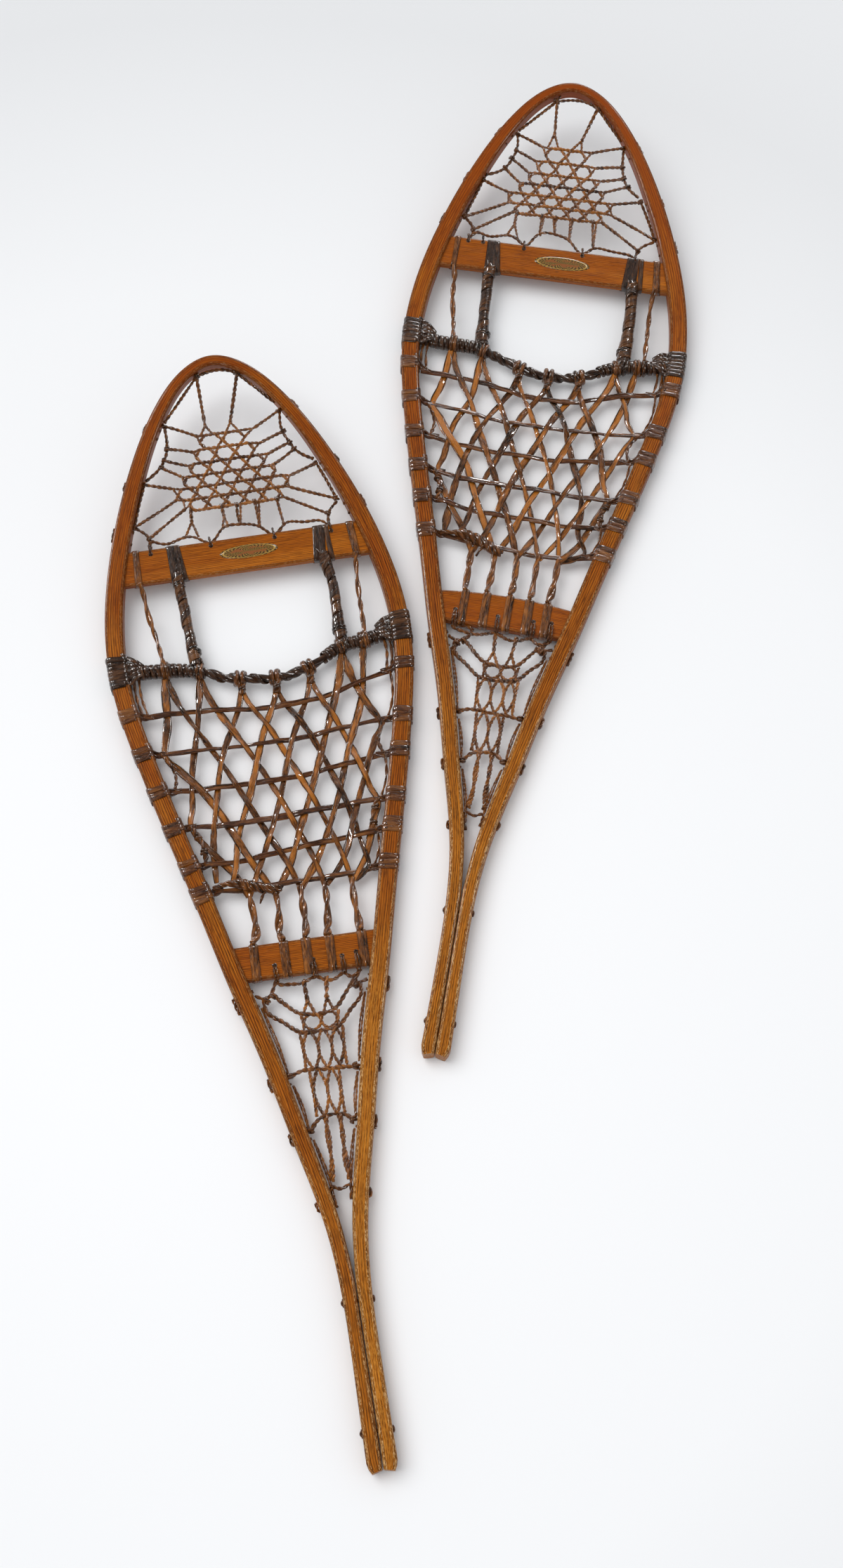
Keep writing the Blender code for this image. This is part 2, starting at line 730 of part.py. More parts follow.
    # ---- master cord, bound to the batten on both sides
    points = [
        (-108, 862), (-84, 860), (-64, 852), (-42, 842), (-14, 833.5), (28, 833.5),
        (60, 844), (81, 854), (98.5, 859.5), (109.5, 861.5),
    ]  # fmt: skip
    master = [(inner_x(-1, 0.862) + 0.0012, 0.864, MASTER_Z)]
    master += [(x / 1000, y / 1000, MASTER_Z) for x, y in points]
    master += [(inner_x(1, 0.862) - 0.0012, 0.864, MASTER_Z)]
    cord = shoe.add("master_cord", tube("master", master, MASTER_R, 2), "rawhide_dark", 50)
    boolean(
        cord,
        [batten_wrap(-1, 0.843, 0.881), batten_wrap(1, 0.843, 0.881)],
        "UNION",
        shoe,
    )

    # ---- toe-hole bars and the thin strands beside them
    for side, x0, x1, sx0, sx1 in ((-1, -0.078, -0.074, -0.121, -0.115), (1, 0.088, 0.090, 0.121, 0.115)):
        tag = "outboard" if side == out else "inboard"
        c, loop = cord_loop(master, x1, 0.010, thick=0.0030)
        y_bar = FRONT_BAR[0] + fs * x0
        bar = shoe.add(
            f"toe_bar_{tag}",
            tube("bar", [(x0, y_bar - 0.0010, MASTER_Z), (x1, c.y + 0.0096, MASTER_Z)], 0.0050, 2),
            "rawhide_dark",
            50,
        )
        boolean(bar, [bar_wrap(FRONT_BAR, x0, 0.0110, fs), loop], "UNION", shoe)
        c, loop = cord_loop(master, sx1, 0.0050)
        y_bar = FRONT_BAR[0] + fs * sx0
        strand = shoe.add(
            f"side_strand_{tag}",
            tube("strand", [(sx0, y_bar - 0.0010, MASTER_Z), (sx0 * 0.975, 0.915, MASTER_Z),
                            (sx1, c.y + 0.0077, MASTER_Z)], 0.0016, 1),
            "rawhide_net",
            50,
        )  # fmt: skip
        boolean(strand, [bar_wrap(FRONT_BAR, sx0, 0.0050, fs), loop], "UNION", shoe)

    # ---- cross strands of the foot net, each wrapped round the batten at both ends
    rows = [
        # left wrap, right wrap (lower, upper), heights at the left wall, middle, right wall
        ((802, 818), (817, 829), (810, 798, 822)),
        ((752, 768), (752, 768), (760, 757, 761)),
        ((706, 721), (713, 728), (714, 711, 720)),
        ((662, 676), (662, 676), (669, 667, 670)),
        ((616, 631), (628, 643), (624, 630, 635)),
        ((584, 600), (587, 601), (594, 592, 594)),
    ]
    for k, (left, right, (yl, ym, yr)) in enumerate(rows, 1):
        wl, wr = inner_x(-1, yl / 1000) + 0.0014, inner_x(1, yr / 1000) - 0.0014
        h = 0.0026
        line = [(wl, yl / 1000), (wl * 0.45, (yl * 0.25 + ym * 0.75) / 1000),
                (wr * 0.45, (yr * 0.25 + ym * 0.75) / 1000), (wr, yr / 1000)]  # fmt: skip
        ribbon = [(x, y + h) for x, y in line] + [(x, y - h) for x, y in line[::-1]]
        weft = shoe.add(f"cross_strand_{k}", plate("weft", [ribbon], WEFT_LOW, WEFT_HIGH), "rawhide_net")
        boolean(
            weft,
            [batten_wrap(-1, left[0] / 1000, left[1] / 1000), batten_wrap(1, right[0] / 1000, right[1] / 1000)],
            "UNION",
            shoe,
        )

    # ---- diagonal strands, hung on the master cord and wrapped round the rear crossbar
    hang = {}
    loops = []
    for x in (-0.100, -0.056, -0.028, 0.010, 0.046, 0.073, 0.104):
        c, loop = cord_loop(master, x, 0.0044)
        hang[round(x * 1000)] = (c.x * 1000, (c.y - 0.0078) * 1000)
        loops.append(loop)
    rear = (-54, -22, 2, 25, 56)
    foot = {x: (x, 1000 * (REAR_BAR[1] + rs * x / 1000 + (spec["rear_arch"] * (1 - (x / 70) ** 2))) + 1.0) for x in rear}
    ends = [(-46, 580), (-22, 580), (4, 580), (29, 580), (54, 580)]
    lines = [
        [hang[-100], (-82, 790), (-62, 745), (-40, 700), (-20, 655), (-4, 615), ends[2]],
        [hang[-56], (-45, 780), (-25, 738), (-3, 693), (12, 650), (25, 605), ends[3]],
        [hang[-28], (-5, 770), (14, 728), (30, 688), (45, 650), (54, 610), ends[4]],
        [hang[10], (28, 780), (48, 740), (62, 695), (78, 650), (76, 612)],
        [hang[46], (62, 785), (78, 740), (92, 695)],
        [hang[73], (88, 795), (112, 765)],
        [(-112, 765), (-92, 720), (-72, 690), (-55, 650), (-38, 615), ends[1]],
        [(-92, 695), (-80, 650), (-62, 612), ends[0]],
        [hang[-100], (-112, 765)],
        [hang[-56], (-80, 790), (-92, 755), (-92, 695)],
        [hang[-28], (-45, 775), (-60, 735), (-72, 690), (-80, 650), (-76, 612)],
        [hang[10], (-5, 770), (-22, 735), (-40, 690), (-55, 650), (-62, 612), (-76, 612)],
        [hang[46], (30, 775), (12, 730), (-5, 690), (-22, 650), (-38, 615), ends[0]],
        [hang[73], (68, 785), (48, 740), (30, 690), (12, 650), (-4, 615), ends[1]],
        [hang[104], (95, 780), (78, 735), (60, 690), (42, 650), (25, 605), ends[2]],
        [(112, 765), (92, 695), (78, 650), (60, 617), ends[3]],
        [(76, 612), ends[4]],
        *[[e, foot[x]] for e, x in zip(ends, rear)],
    ]
    net = [mm(*line) for line in lines]
    foot_net = shoe.add(
        "foot_net",
        plate("foot_net", net_outlines(net, 0.0018, 0.0045), FOOT_LOW, FOOT_HIGH),
        "rawhide_net",
    )
    arch = spec["rear_arch"]
    for x in rear:
        bar = (REAR_BAR[0], REAR_BAR[1] + arch * (1 - (x / 70) ** 2))
        loops.append(bar_wrap(bar, x / 1000, 0.0044, rs))
    boolean(foot_net, loops, "UNION", shoe)

    # ---- tail selvage and tail net
    path = flat([(0, 268)])
    for k in (3, 2, 1):
        path += through(1, tail_pairs[k][::-1])
    path += flat([(46, 434)])
    path += through(1, tail_pairs[0][::-1])
    path += flat([(51, 1000 * rear_edge(0.05) - 8)])
    for x, ahead in zip(rear_loops[::-1], (21, -14, None)):
        path += round_edge(x, rear_edge(x) + 0.0060, rear_edge(x), -1)[::-1]
        if ahead is not None:
            path += flat([(ahead, 1000 * rear_edge(ahead / 1000) - 7)])
    path += flat([(-50, 1000 * rear_edge(-0.05) - 8)])
    path += through(-1, tail_pairs[0])
    path += flat([(-46, 434)])
    for k in (1, 2, 3):
        path += through(-1, tail_pairs[k])
    shoe.add("tail_selvage", tube("tail_selvage", path, CORD_R, 0, True), "rawhide_net", 50)

    lines = [
        ((-46, 470), (-15, 448)), ((-45, 452), (-18, 430)), ((46, 470), (20, 448)),
        ((45, 452), (23, 430)), ((-11, 480), (-15, 448)), ((19, 480), (20, 448)),
        ((-15, 448), (20, 448)), ((-18, 430), (23, 430)), ((-15, 448), (23, 430)),
        ((20, 448), (-18, 430)), ((-30, 388), (-18, 384)), ((-18, 384), (23, 384)),
        ((23, 384), (32, 388)), ((-18, 430), (-3, 384)), ((-3, 430), (-18, 384)),
        ((-3, 430), (11, 384)), ((11, 430), (-3, 384)), ((11, 430), (23, 384)),
        ((23, 430), (11, 384)), ((-18, 384), (-11, 340)), ((-3, 384), (-11, 340)),
        ((-3, 384), (2, 340)), ((11, 384), (2, 340)), ((11, 384), (13, 340)),
        ((23, 384), (13, 340)), ((-17, 328), (-11, 340)), ((19, 328), (13, 340)),
        ((-11, 340), (13, 340)), ((-11, 340), (-4, 275)), ((13, 340), (4, 275)),
    ]  # fmt: skip
    net = [mm(a, b) for a, b in lines]
    shoe.add(
        "tail_net",
        plate("tail_net", net_outlines(net, 0.0012), NET_LOW, NET_HIGH),
        "rawhide_net",
    )


for shoe_name, shoe_spec in SHOES.items():
    build_shoe(shoe_name, shoe_spec)
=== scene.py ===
"""Looks of the pair of laced wooden snowshoes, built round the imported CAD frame."""

import json
import math

import bpy
import numpy as np
from mathutils import Matrix, Vector

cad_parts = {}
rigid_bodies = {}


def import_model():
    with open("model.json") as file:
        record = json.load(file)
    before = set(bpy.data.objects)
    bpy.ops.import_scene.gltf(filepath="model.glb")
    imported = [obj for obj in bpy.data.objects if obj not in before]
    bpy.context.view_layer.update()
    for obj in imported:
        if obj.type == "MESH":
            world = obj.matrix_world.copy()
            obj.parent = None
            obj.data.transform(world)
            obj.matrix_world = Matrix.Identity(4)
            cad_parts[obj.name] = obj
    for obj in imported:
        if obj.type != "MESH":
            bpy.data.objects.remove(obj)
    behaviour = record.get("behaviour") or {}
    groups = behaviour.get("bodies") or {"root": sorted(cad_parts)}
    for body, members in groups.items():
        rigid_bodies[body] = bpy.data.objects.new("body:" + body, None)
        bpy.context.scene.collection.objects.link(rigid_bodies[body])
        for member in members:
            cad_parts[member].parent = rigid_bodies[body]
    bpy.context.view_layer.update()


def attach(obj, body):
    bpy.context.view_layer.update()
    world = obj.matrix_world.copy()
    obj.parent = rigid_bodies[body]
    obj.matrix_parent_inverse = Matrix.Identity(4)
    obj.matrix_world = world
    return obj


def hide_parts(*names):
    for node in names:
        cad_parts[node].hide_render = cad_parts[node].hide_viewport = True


for old in list(bpy.data.objects):
    bpy.data.objects.remove(old, do_unlink=True)
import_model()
RNG = np.random.default_rng(7)

# ------------------------------------------------------------------ the CAD's own layout
LENGTH, BOTTOM, TOP = 1.219, 0.0024, 0.0225
TOE_LIFT, LIFT_START = 0.0566, 0.806
BAR_LOW, BAR_HIGH = 0.0085, 0.0185
HALF_OUTLINE = (
    (0.0, 0.0150), (0.09, 0.0141), (0.18, 0.0157), (0.23, 0.0211), (0.27, 0.0290),
    (0.32, 0.0410), (0.40, 0.0596), (0.49, 0.0839), (0.58, 0.1065), (0.67, 0.1298),
    (0.76, 0.1518), (0.85, 0.1671), (0.94, 0.1630), (1.029, 0.1408), (1.1106, 0.1074),
    (1.174, 0.0687), (1.209, 0.0315), (LENGTH, 0.0),
)  # fmt: skip
BATTEN_WIDTH = (
    (0.0, 0.0147), (0.20, 0.0150), (0.30, 0.0168), (0.40, 0.0186), (0.50, 0.0196),
    (0.70, 0.0203), (1.00, 0.0203), (1.10, 0.0178), (1.17, 0.0145), (LENGTH, 0.0116),
)  # fmt: skip
SHOES = {
    "left": dict(at=(-0.0153, -0.8021), turn=9.58, toe_bend=-0.0065, tail_bend=-0.0006,
                 front_skew=-0.0043, rear_skew=-0.0203, rear_arch=0.0, outboard=-1),
    "right": dict(at=(0.0368, -0.4069), turn=-8.37, toe_bend=-0.0091, tail_bend=-0.0047,
                  front_skew=-0.0074, rear_skew=-0.0380, rear_arch=0.0050, outboard=1),
}  # fmt: skip
FRONT_BAR, REAR_BAR = (0.9633, 1.0034), (0.4895, 0.5270)
RIVET_Y = (0.036, 0.157)


def natural_spline(points):
    """Natural cubic spline through points of any dimension, by chord length."""
    p = np.array(points, float)
    s = np.concatenate([[0], np.cumsum(np.linalg.norm(np.diff(p, axis=0), axis=1))])
    n, h = len(s), np.diff(s)
    a, rhs = np.eye(n), np.zeros(p.shape)
    for i in range(1, n - 1):
        a[i, i - 1 : i + 2] = h[i - 1], 2 * (h[i - 1] + h[i]), h[i]
        rhs[i] = 6 * ((p[i + 1] - p[i]) / h[i] - (p[i] - p[i - 1]) / h[i - 1])
    m = np.linalg.solve(a, rhs)

    def at(q):
        q = np.clip(np.atleast_1d(q), 0, s[-1])
        i = np.clip(np.searchsorted(s, q, side="right") - 1, 0, n - 2)
        t, u, w = (q - s[i])[:, None], (s[i + 1] - q)[:, None], h[i][:, None]
        return (m[i] * u**3 + m[i + 1] * t**3) / (6 * w) + (
            p[i] / w - m[i] * w / 6
        ) * u + (p[i + 1] / w - m[i + 1] * w / 6) * t

    return at, s[-1]


right_edge = [(x, y) for y, x in HALF_OUTLINE]
full_edge = right_edge + [(-x, y) for x, y in right_edge[-2::-1]]
edge_at, EDGE = natural_spline(full_edge)


def batten(s):
    """Outer points, inward unit vectors and widths of the batten at arc lengths s."""
    s = np.atleast_1d(s)
    p = edge_at(s)
    d = edge_at(np.minimum(s + 2e-4, EDGE)) - edge_at(np.maximum(s - 2e-4, 0))
    d /= np.linalg.norm(d, axis=1)[:, None]
    inward = np.stack([-d[:, 1], d[:, 0]], 1)
    width = np.interp(p[:, 1], *zip(*BATTEN_WIDTH))
    q = p + inward * width[:, None]
    side = np.where(s < EDGE / 2, 1, -1)
    tight = (q[:, 0] * side < 0.0004) & (p[:, 1] < 0.5)
    q[tight, 0] = side[tight] * 0.0004
    q[tight, 1] = p[tight, 1]
    v = q - p
    width = np.linalg.norm(v, axis=1)
    return p, v / width[:, None], width


_s = np.linspace(0, EDGE / 2, 1500)
_y = edge_at(_s)[:, 1]


def s_at(side, y):
    """Arc length where the batten's outer edge passes height y on one side."""
    s = np.interp(y, _y, _s)
    return s if side > 0 else EDGE - s


def inner_at(side, y):
    """Point of the inner wall level with y, and the outward direction there."""
    target = np.asarray(y, float)
    guess = target
    for _ in range(6):
        p, n, w = batten(s_at(side, guess))
        q = p + n * w[:, None]
        guess = guess + (target - q[0, 1])
    return q[0], -n[0]


def bend(spec, v):
    """Flat-drawn points moved onto the bent shoe and into the pair's frame."""
    v = np.array(v, float).reshape(-1, 3)
    x, y, z = v.T
    x = x + spec["toe_bend"] * np.maximum(0, (y - 0.75) / (LENGTH - 0.75)) ** 2
    x = x + spec["tail_bend"] * np.maximum(0, (0.45 - y) / 0.45) ** 2
    run = LENGTH - LIFT_START
    t = np.maximum(0, (y - LIFT_START) / run)
    slope = 2 * TOE_LIFT * t / run
    k = 1 / np.sqrt(1 + slope * slope)
    drop = z - TOP
    y2 = y - drop * slope * k
    z2 = TOP + TOE_LIFT * t * t + drop * k
    a = math.radians(spec["turn"])
    c, s = math.cos(a), math.sin(a)
    return np.stack([x * c - y2 * s + spec["at"][0], x * s + y2 * c + spec["at"][1], z2], 1)


# ------------------------------------------------------------------ meshes from sweeps
class Piece:
    """Collects swept forms into one mesh with coordinates for its grain."""

    def __init__(self):
        self.v, self.f, self.n, self.a, self.t, self.e, self.count = [], [], [], [], [], [], 0

    def add(self, v, quads, ngons, grain, tone=0.0, edge=0.0):
        self.v.append(v)
        self.f.append(quads + self.count)
        self.n += [[i + self.count for i in g] for g in ngons]
        self.a.append(grain)
        self.t.append(np.full(len(v), tone) if np.isscalar(tone) else tone)
        self.e.append(np.full(len(v), edge) if np.isscalar(edge) else edge)
        self.count += len(v)

    def sweep(self, path, normal, profile, closed=False, tone=0.0, seed=None, caps=True, edge=None):
        """profile: (n, m, 2) offsets along the side and normal directions at each point."""
        path = np.asarray(path, float)
        n = len(path)
        if closed:
            tan = np.roll(path, -1, 0) - np.roll(path, 1, 0)
        else:
            tan = np.gradient(path, axis=0)
        tan /= np.linalg.norm(tan, axis=1)[:, None] + 1e-12
        nor = np.asarray(normal, float)
        nor = nor - tan * (nor * tan).sum(1)[:, None]
        nor /= np.linalg.norm(nor, axis=1)[:, None] + 1e-12
        bi = np.cross(tan, nor)
        profile = np.asarray(profile, float)
        if profile.ndim == 2:
            profile = np.broadcast_to(profile, (n, *profile.shape))
        m = profile.shape[1]
        v = (
            path[:, None, :]
            + bi[:, None, :] * profile[:, :, :1]
            + nor[:, None, :] * profile[:, :, 1:]
        ).reshape(-1, 3)
        s = np.concatenate([[0], np.cumsum(np.linalg.norm(np.diff(path, axis=0), axis=1))])
        shift = RNG.random(3) * 7 if seed is None else np.array(seed, float)
        grain = np.stack(
            [
                np.repeat(s, m) + shift[0],
                profile[:, :, 0].ravel() + shift[1],
                profile[:, :, 1].ravel() + shift[2],
            ],
            1,
        )
        rows = n if closed else n - 1
        i = np.arange(rows)[:, None] * m
        j = (np.arange(rows)[:, None] + 1) % n * m
        k = np.arange(m)[None, :]
        k2 = (k + 1) % m
        quads = np.stack([i + k, i + k2, j + k2, j + k], 2).reshape(-1, 4)
        ngons = []
        if not closed and caps:
            ngons = [list(range(m))[::-1], list(range((n - 1) * m, n * m))]
        tone = np.repeat(tone, m) if not np.isscalar(tone) else tone
        self.add(v, quads, ngons, grain, tone, 0.0 if edge is None else np.tile(edge, n))

    def build(self, name, spec, material, body, slot, replaces=(), sharp=None):
        v = bend(spec, np.concatenate(self.v))
        quads = np.concatenate(self.f)
        me = bpy.data.meshes.new(name)
        me.vertices.add(len(v))
        me.vertices.foreach_set("co", v.astype(np.float32).ravel())
        loops = np.concatenate([quads.ravel(), *[np.array(g) for g in self.n]]).astype(np.int32)
        totals = np.concatenate([np.full(len(quads), 4), [len(g) for g in self.n]]).astype(int)
        starts = np.concatenate([[0], np.cumsum(totals)[:-1]]).astype(np.int32)
        me.loops.add(len(loops))
        me.loops.foreach_set("vertex_index", loops)
        me.polygons.add(len(totals))
        me.polygons.foreach_set("loop_start", starts)
        me.update(calc_edges=True)
        a = me.attributes.new("grain", "FLOAT_VECTOR", "POINT")
        a.data.foreach_set("vector", np.concatenate(self.a).astype(np.float32).ravel())
        t = me.attributes.new("tone", "FLOAT", "POINT")
        t.data.foreach_set("value", np.concatenate(self.t).astype(np.float32))
        if any(np.any(k) for k in self.e):
            e = me.attributes.new("edge", "FLOAT", "POINT")
            e.data.foreach_set("value", np.concatenate(self.e).astype(np.float32))
        me.shade_smooth()
        if sharp:
            me.set_sharp_from_angle(angle=math.radians(sharp))
        ob = bpy.data.objects.new(name, me)
        bpy.context.scene.collection.objects.link(ob)
        me.materials.append(material)
        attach(ob, body)
        if replaces:
            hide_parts(*replaces)
        return ob


def rounded(w, h, r, corner=5, flat=1, near=0.0):
    """Rounded rectangle outline about the origin: points and outward normals."""
    pts, nrm = [], []
    r = min(r, w / 2 - 1e-6, h / 2 - 1e-6)
    for cx, cy, a0 in ((1, 1, 0), (-1, 1, 90), (-1, -1, 180), (1, -1, 270)):
        for k in range(corner + 1):
            a = math.radians(a0 + 90 * k / corner)
            c, s = math.cos(a), math.sin(a)
            pts.append((cx * (w / 2 - r) + r * c, cy * (h / 2 - r) + r * s))
            nrm.append((c, s))
    out, no = [], []
    for k in range(len(pts)):
        a, b = pts[k], pts[(k + 1) % len(pts)]
        out.append(a)
        no.append(nrm[k])
        if (k + 1) % (corner + 1) == 0:
            stops = [j / (flat + 1) for j in range(1, flat + 1)]
            if near:
                span = math.hypot(b[0] - a[0], b[1] - a[1])
                stops = [near / span, *np.linspace(near / span, 1 - near / span, flat)[1:-1], 1 - near / span]
            for t in stops:
                out.append((a[0] + (b[0] - a[0]) * t, a[1] + (b[1] - a[1]) * t))
                no.append(nrm[k])
    return np.array(out), np.array(no)


def circle(r, m):
    a = np.arange(m) * math.tau / m
    return np.stack([np.cos(a) * r, np.sin(a) * r], 1)


def lens(width, thick, m=10, power=2.4):
    """Crowned strip section."""
    a = np.arange(m) * math.tau / m
    c, s = np.cos(a), np.sin(a)
    k = 2 / power
    return np.stack(
        [np.sign(c) * np.abs(c) ** k * width / 2, np.sign(s) * np.abs(s) ** k * thick / 2], 1
    )


def resample(points, step, smooth=True, closed=False):
    """Evenly spaced points along a curve through 3-D points."""
    p = np.array(points, float)
    p = p[np.concatenate([[True], np.linalg.norm(np.diff(p, axis=0), axis=1) > 1e-6])]  # a spline can't take a point twice
    if closed:
        p = np.vstack([p[-3:], p, p[:3]])
        at, length = natural_spline(p)
        s = np.concatenate([[0], np.cumsum(np.linalg.norm(np.diff(p, axis=0), axis=1))])
        n = max(8, int((s[-3] - s[3]) / step))
        return at(s[3] + (s[-3] - s[3]) * np.arange(n) / n)
    if len(p) == 2 or not smooth:
        s = np.concatenate([[0], np.cumsum(np.linalg.norm(np.diff(p, axis=0), axis=1))])
        q = np.linspace(0, s[-1], max(3, int(s[-1] / step) + 1))
        return np.stack([np.interp(q, s, p[:, k]) for k in range(3)], 1)
    at, length = natural_spline(p)
    return at(np.linspace(0, length, max(4, int(length / step) + 1)))


def transport(path, closed=False):
    """Normals carried along a path without twist."""
    tan = np.gradient(path, axis=0)
    tan /= np.linalg.norm(tan, axis=1)[:, None] + 1e-12
    n = np.cross(tan[0], (0.31, 0.2, 0.93))
    n /= np.linalg.norm(n)
    out = [n]
    for t in tan[1:]:
        n = n - t * (n @ t)
        n /= np.linalg.norm(n)
        out.append(n)
    return np.array(out), tan


def wobble(n, scale, amount, dims=1):
    """Smooth random variation along n samples, scale samples long."""
    k = max(4, int(n / scale) + 3)
    knots = RNG.normal(size=(k, dims))
    x = np.linspace(0, k - 1.001, n)
    i = x.astype(int)
    f = (x - i)[:, None]
    f = f * f * (3 - 2 * f)
    return (knots[i] * (1 - f) + knots[np.minimum(i + 1, k - 1)] * f) * amount


def plied(piece, points, radius, pitch=0.011, plies=2, sides=7, tone=0.0, smooth=True,
          step=None, taper=None, ratio=0.56):
    """A cord of twisted rawhide strands along a path."""
    step = step or min(0.0016, pitch / 8)
    path = resample(points, step, smooth)
    n = len(path)
    nor, tan = transport(path)
    bi = np.cross(tan, nor)
    s = np.linspace(0, np.linalg.norm(np.diff(path, axis=0), axis=1).sum(), n)
    swell = 1 + wobble(n, 9, 0.07)[:, 0]
    if taper is not None:
        swell = swell * np.interp(np.linspace(0, 1, n), *zip(*taper))
    phase0 = RNG.random() * math.tau
    twist = math.tau * s / pitch + wobble(n, 14, 0.5)[:, 0] + phase0
    for k in range(plies):
        a = twist + math.tau * k / plies
        off = radius * (1 - ratio) * swell * (1.0 if plies == 2 else 1.15)
        centre = path + nor * (np.cos(a) * off)[:, None] + bi * (np.sin(a) * off)[:, None]
        r = radius * ratio * swell * (1 + wobble(n, 6, 0.06)[:, 0])
        prof = circle(1.0, sides)[None] * r[:, None, None]
        out = nor * np.cos(a)[:, None] + bi * np.sin(a)[:, None]
        piece.sweep(centre, out, prof, tone=tone + RNG.normal() * 0.05)


def strip(piece, path, normal, width, thick, tone=0.0, m=10, ragged=0.08, closed=False):
    """A flat rawhide strip along an exact path."""
    n = len(path)
    w = np.broadcast_to(width, n) * (1 + wobble(n, 8, ragged)[:, 0])
    t = np.broadcast_to(thick, n) * (1 + wobble(n, 7, ragged)[:, 0])
    if closed:
        f = np.minimum(1, np.minimum(np.arange(n), n - 1 - np.arange(n)) / 5)
        w, t = width * f + 0 * w + (w - width) * f + width * (1 - f), t
        w = np.where(np.arange(n) % n == 0, w[0], w)
    prof = lens(1.0, 1.0, m)[None] * np.stack([w, t], 1)[:, None, :]
    piece.sweep(path, normal, prof, closed=closed, tone=tone)


def batten_wrap(piece, side, y0, y1, turns, thick=0.0019, tone=0.0, tilt=0.0):
    """Turns of flat rawhide round the batten between two heights."""
    per = 46
    n = int(turns * per)
    t = np.linspace(0, turns, n)
    pitch = (y1 - y0) / turns
    y = y0 + pitch * 0.5 + (y1 - y0 - pitch) * np.clip((t - 0.5) / max(turns - 1, 1e-6), -0.02, 1.02)
    y = y + wobble(n, per * 0.7, pitch * 0.07)[:, 0]
    turn0 = 0.62 if side > 0 else 0.12
    lay = wobble(n, per * 0.5, 0.00022)[:, 0]
    path, normal = np.zeros((n, 3)), np.zeros((n, 3))
    p, inward, w = batten(np.array([s_at(side, k) for k in y]))
    for k in range(n):
        out, no = rounded(w[k] + 2 * 0.0006, TOP - BOTTOM + 2 * 0.0006, 0.0052, 6, 5)
        f = ((t[k] + turn0) % 1.0) * len(out)
        i, g = int(f) % len(out), f - int(f)
        j = (i + 1) % len(out)
        u, v = out[i] * (1 - g) + out[j] * g
        nu, nv = no[i] * (1 - g) + no[j] * g
        skew = tilt * (nv) * 0.003
        centre = p[k] + inward[k] * (w[k] / 2)
        d = np.array([-inward[k][1], inward[k][0]]) * side
        xy = centre + inward[k] * (u + nu * lay[k]) + d * skew
        path[k] = (*xy, (TOP + BOTTOM) / 2 + v + nv * lay[k])
        normal[k] = (*(inward[k] * nu), nv)
    strip(piece, path, normal, pitch * 1.22, thick, tone=tone + wobble(n, per * 0.6, 0.16)[:, 0], m=10, ragged=0.08)


def bar_loop(piece, x, bar, skew, arch, width, turns=1, thick=0.0017, tone=0.0, lean=0.0, spread=1.0):
    """Rawhide strip wound round a crossbar at x."""
    per = 44
    n = int(turns * per) + 1
    t = np.linspace(0, turns, n)
    xs = x + (t - turns / 2) * width * spread
    path, normal = np.zeros((n, 3)), np.zeros((n, 3))
    for k in range(n):
        yl = bar[0] + skew * xs[k]
        yh = bar[1] + skew * xs[k] + arch * (1 - (xs[k] / 0.07) ** 2)
        out, no = rounded(yh - yl + 0.0012, BAR_HIGH - BAR_LOW + 0.0012, 0.0030, 4, 6)
        f = ((t[k] + 0.55) % 1.0) * len(out)
        i, g = int(f) % len(out), f - int(f)
        j = (i + 1) % len(out)
        u, v = out[i] * (1 - g) + out[j] * g
        nu, nv = no[i] * (1 - g) + no[j] * g
        path[k] = (xs[k] + lean * u / (yh - yl), (yl + yh) / 2 + u, (BAR_LOW + BAR_HIGH) / 2 + v + 0.0001 * k / per)
        normal[k] = (0, nu, nv)
    w = width * (1 + 0.10 * RNG.normal())
    strip(piece, path, normal, w, thick, tone=tone, m=10)


def cord_ring(piece, centre, axis, radius, r, turns=1.0, pitch=None, tone=0.0, sides=7):
    """A few turns of round strand about an axis through a point."""
    axis = np.array(axis, float)
    axis /= np.linalg.norm(axis)
    a = np.cross(axis, (0, 0, 1.0))
    a /= np.linalg.norm(a)
    b = np.cross(axis, a)
    n = int(16 * turns) + 1
    t = np.linspace(0, turns, n)
    pitch = pitch if pitch is not None else 1.8 * r
    ang = t * math.tau + RNG.random() * math.tau
    path = (
        np.array(centre)
        + np.outer(np.cos(ang), a) * radius
        + np.outer(np.sin(ang), b) * radius
        + np.outer((t - turns / 2) * pitch, axis)
    )
    nor = np.outer(np.cos(ang), a) + np.outer(np.sin(ang), b)
    piece.sweep(path, nor, circle(r, sides), tone=tone)


def crossings(lines):
    """Where sampled lines cross: (line i, sample, line j, sample)."""
    found = []
    for i in range(len(lines)):
        a = lines[i][:, :2]
        for j in range(i + 1, len(lines)):
            b = lines[j][:, :2]
            if (a.min(0) > b.max(0)).any() or (b.min(0) > a.max(0)).any():
                continue
            r, s = np.diff(a, axis=0), np.diff(b, axis=0)
            cr = r[:, None, 0] * s[None, :, 1] - r[:, None, 1] * s[None, :, 0]
            d = b[None, :-1] - a[:-1, None]
            with np.errstate(divide="ignore", invalid="ignore"):
                t = (d[..., 0] * s[None, :, 1] - d[..., 1] * s[None, :, 0]) / cr
                u = (d[..., 0] * r[:, None, 1] - d[..., 1] * r[:, None, 0]) / cr
            hit = (t >= 0) & (t < 1) & (u >= 0) & (u < 1)
            for k, m in zip(*np.nonzero(hit)):
                found.append((i, k, j, m))
    return found


def weave(lines, over, reach=0.006, lift=0.0011):
    """Raises and lowers sampled lines where they cross; over(i, j) says which is on top."""
    lines = [l.copy() for l in lines]
    for i, k, j, m in crossings(lines):
        sign = over(i, j)
        for line, at, sg in ((lines[i], k, sign), (lines[j], m, -sign)):
            d = np.linalg.norm(line[:, :2] - line[at, :2], axis=1)
            near = np.abs(np.arange(len(line)) - at) < 40
            line[:, 2] += sg * lift * np.exp(-((d / reach) ** 2)) * near
    return lines


def flat(points, z):
    return [(x / 1000, y / 1000, z) for x, y in points]


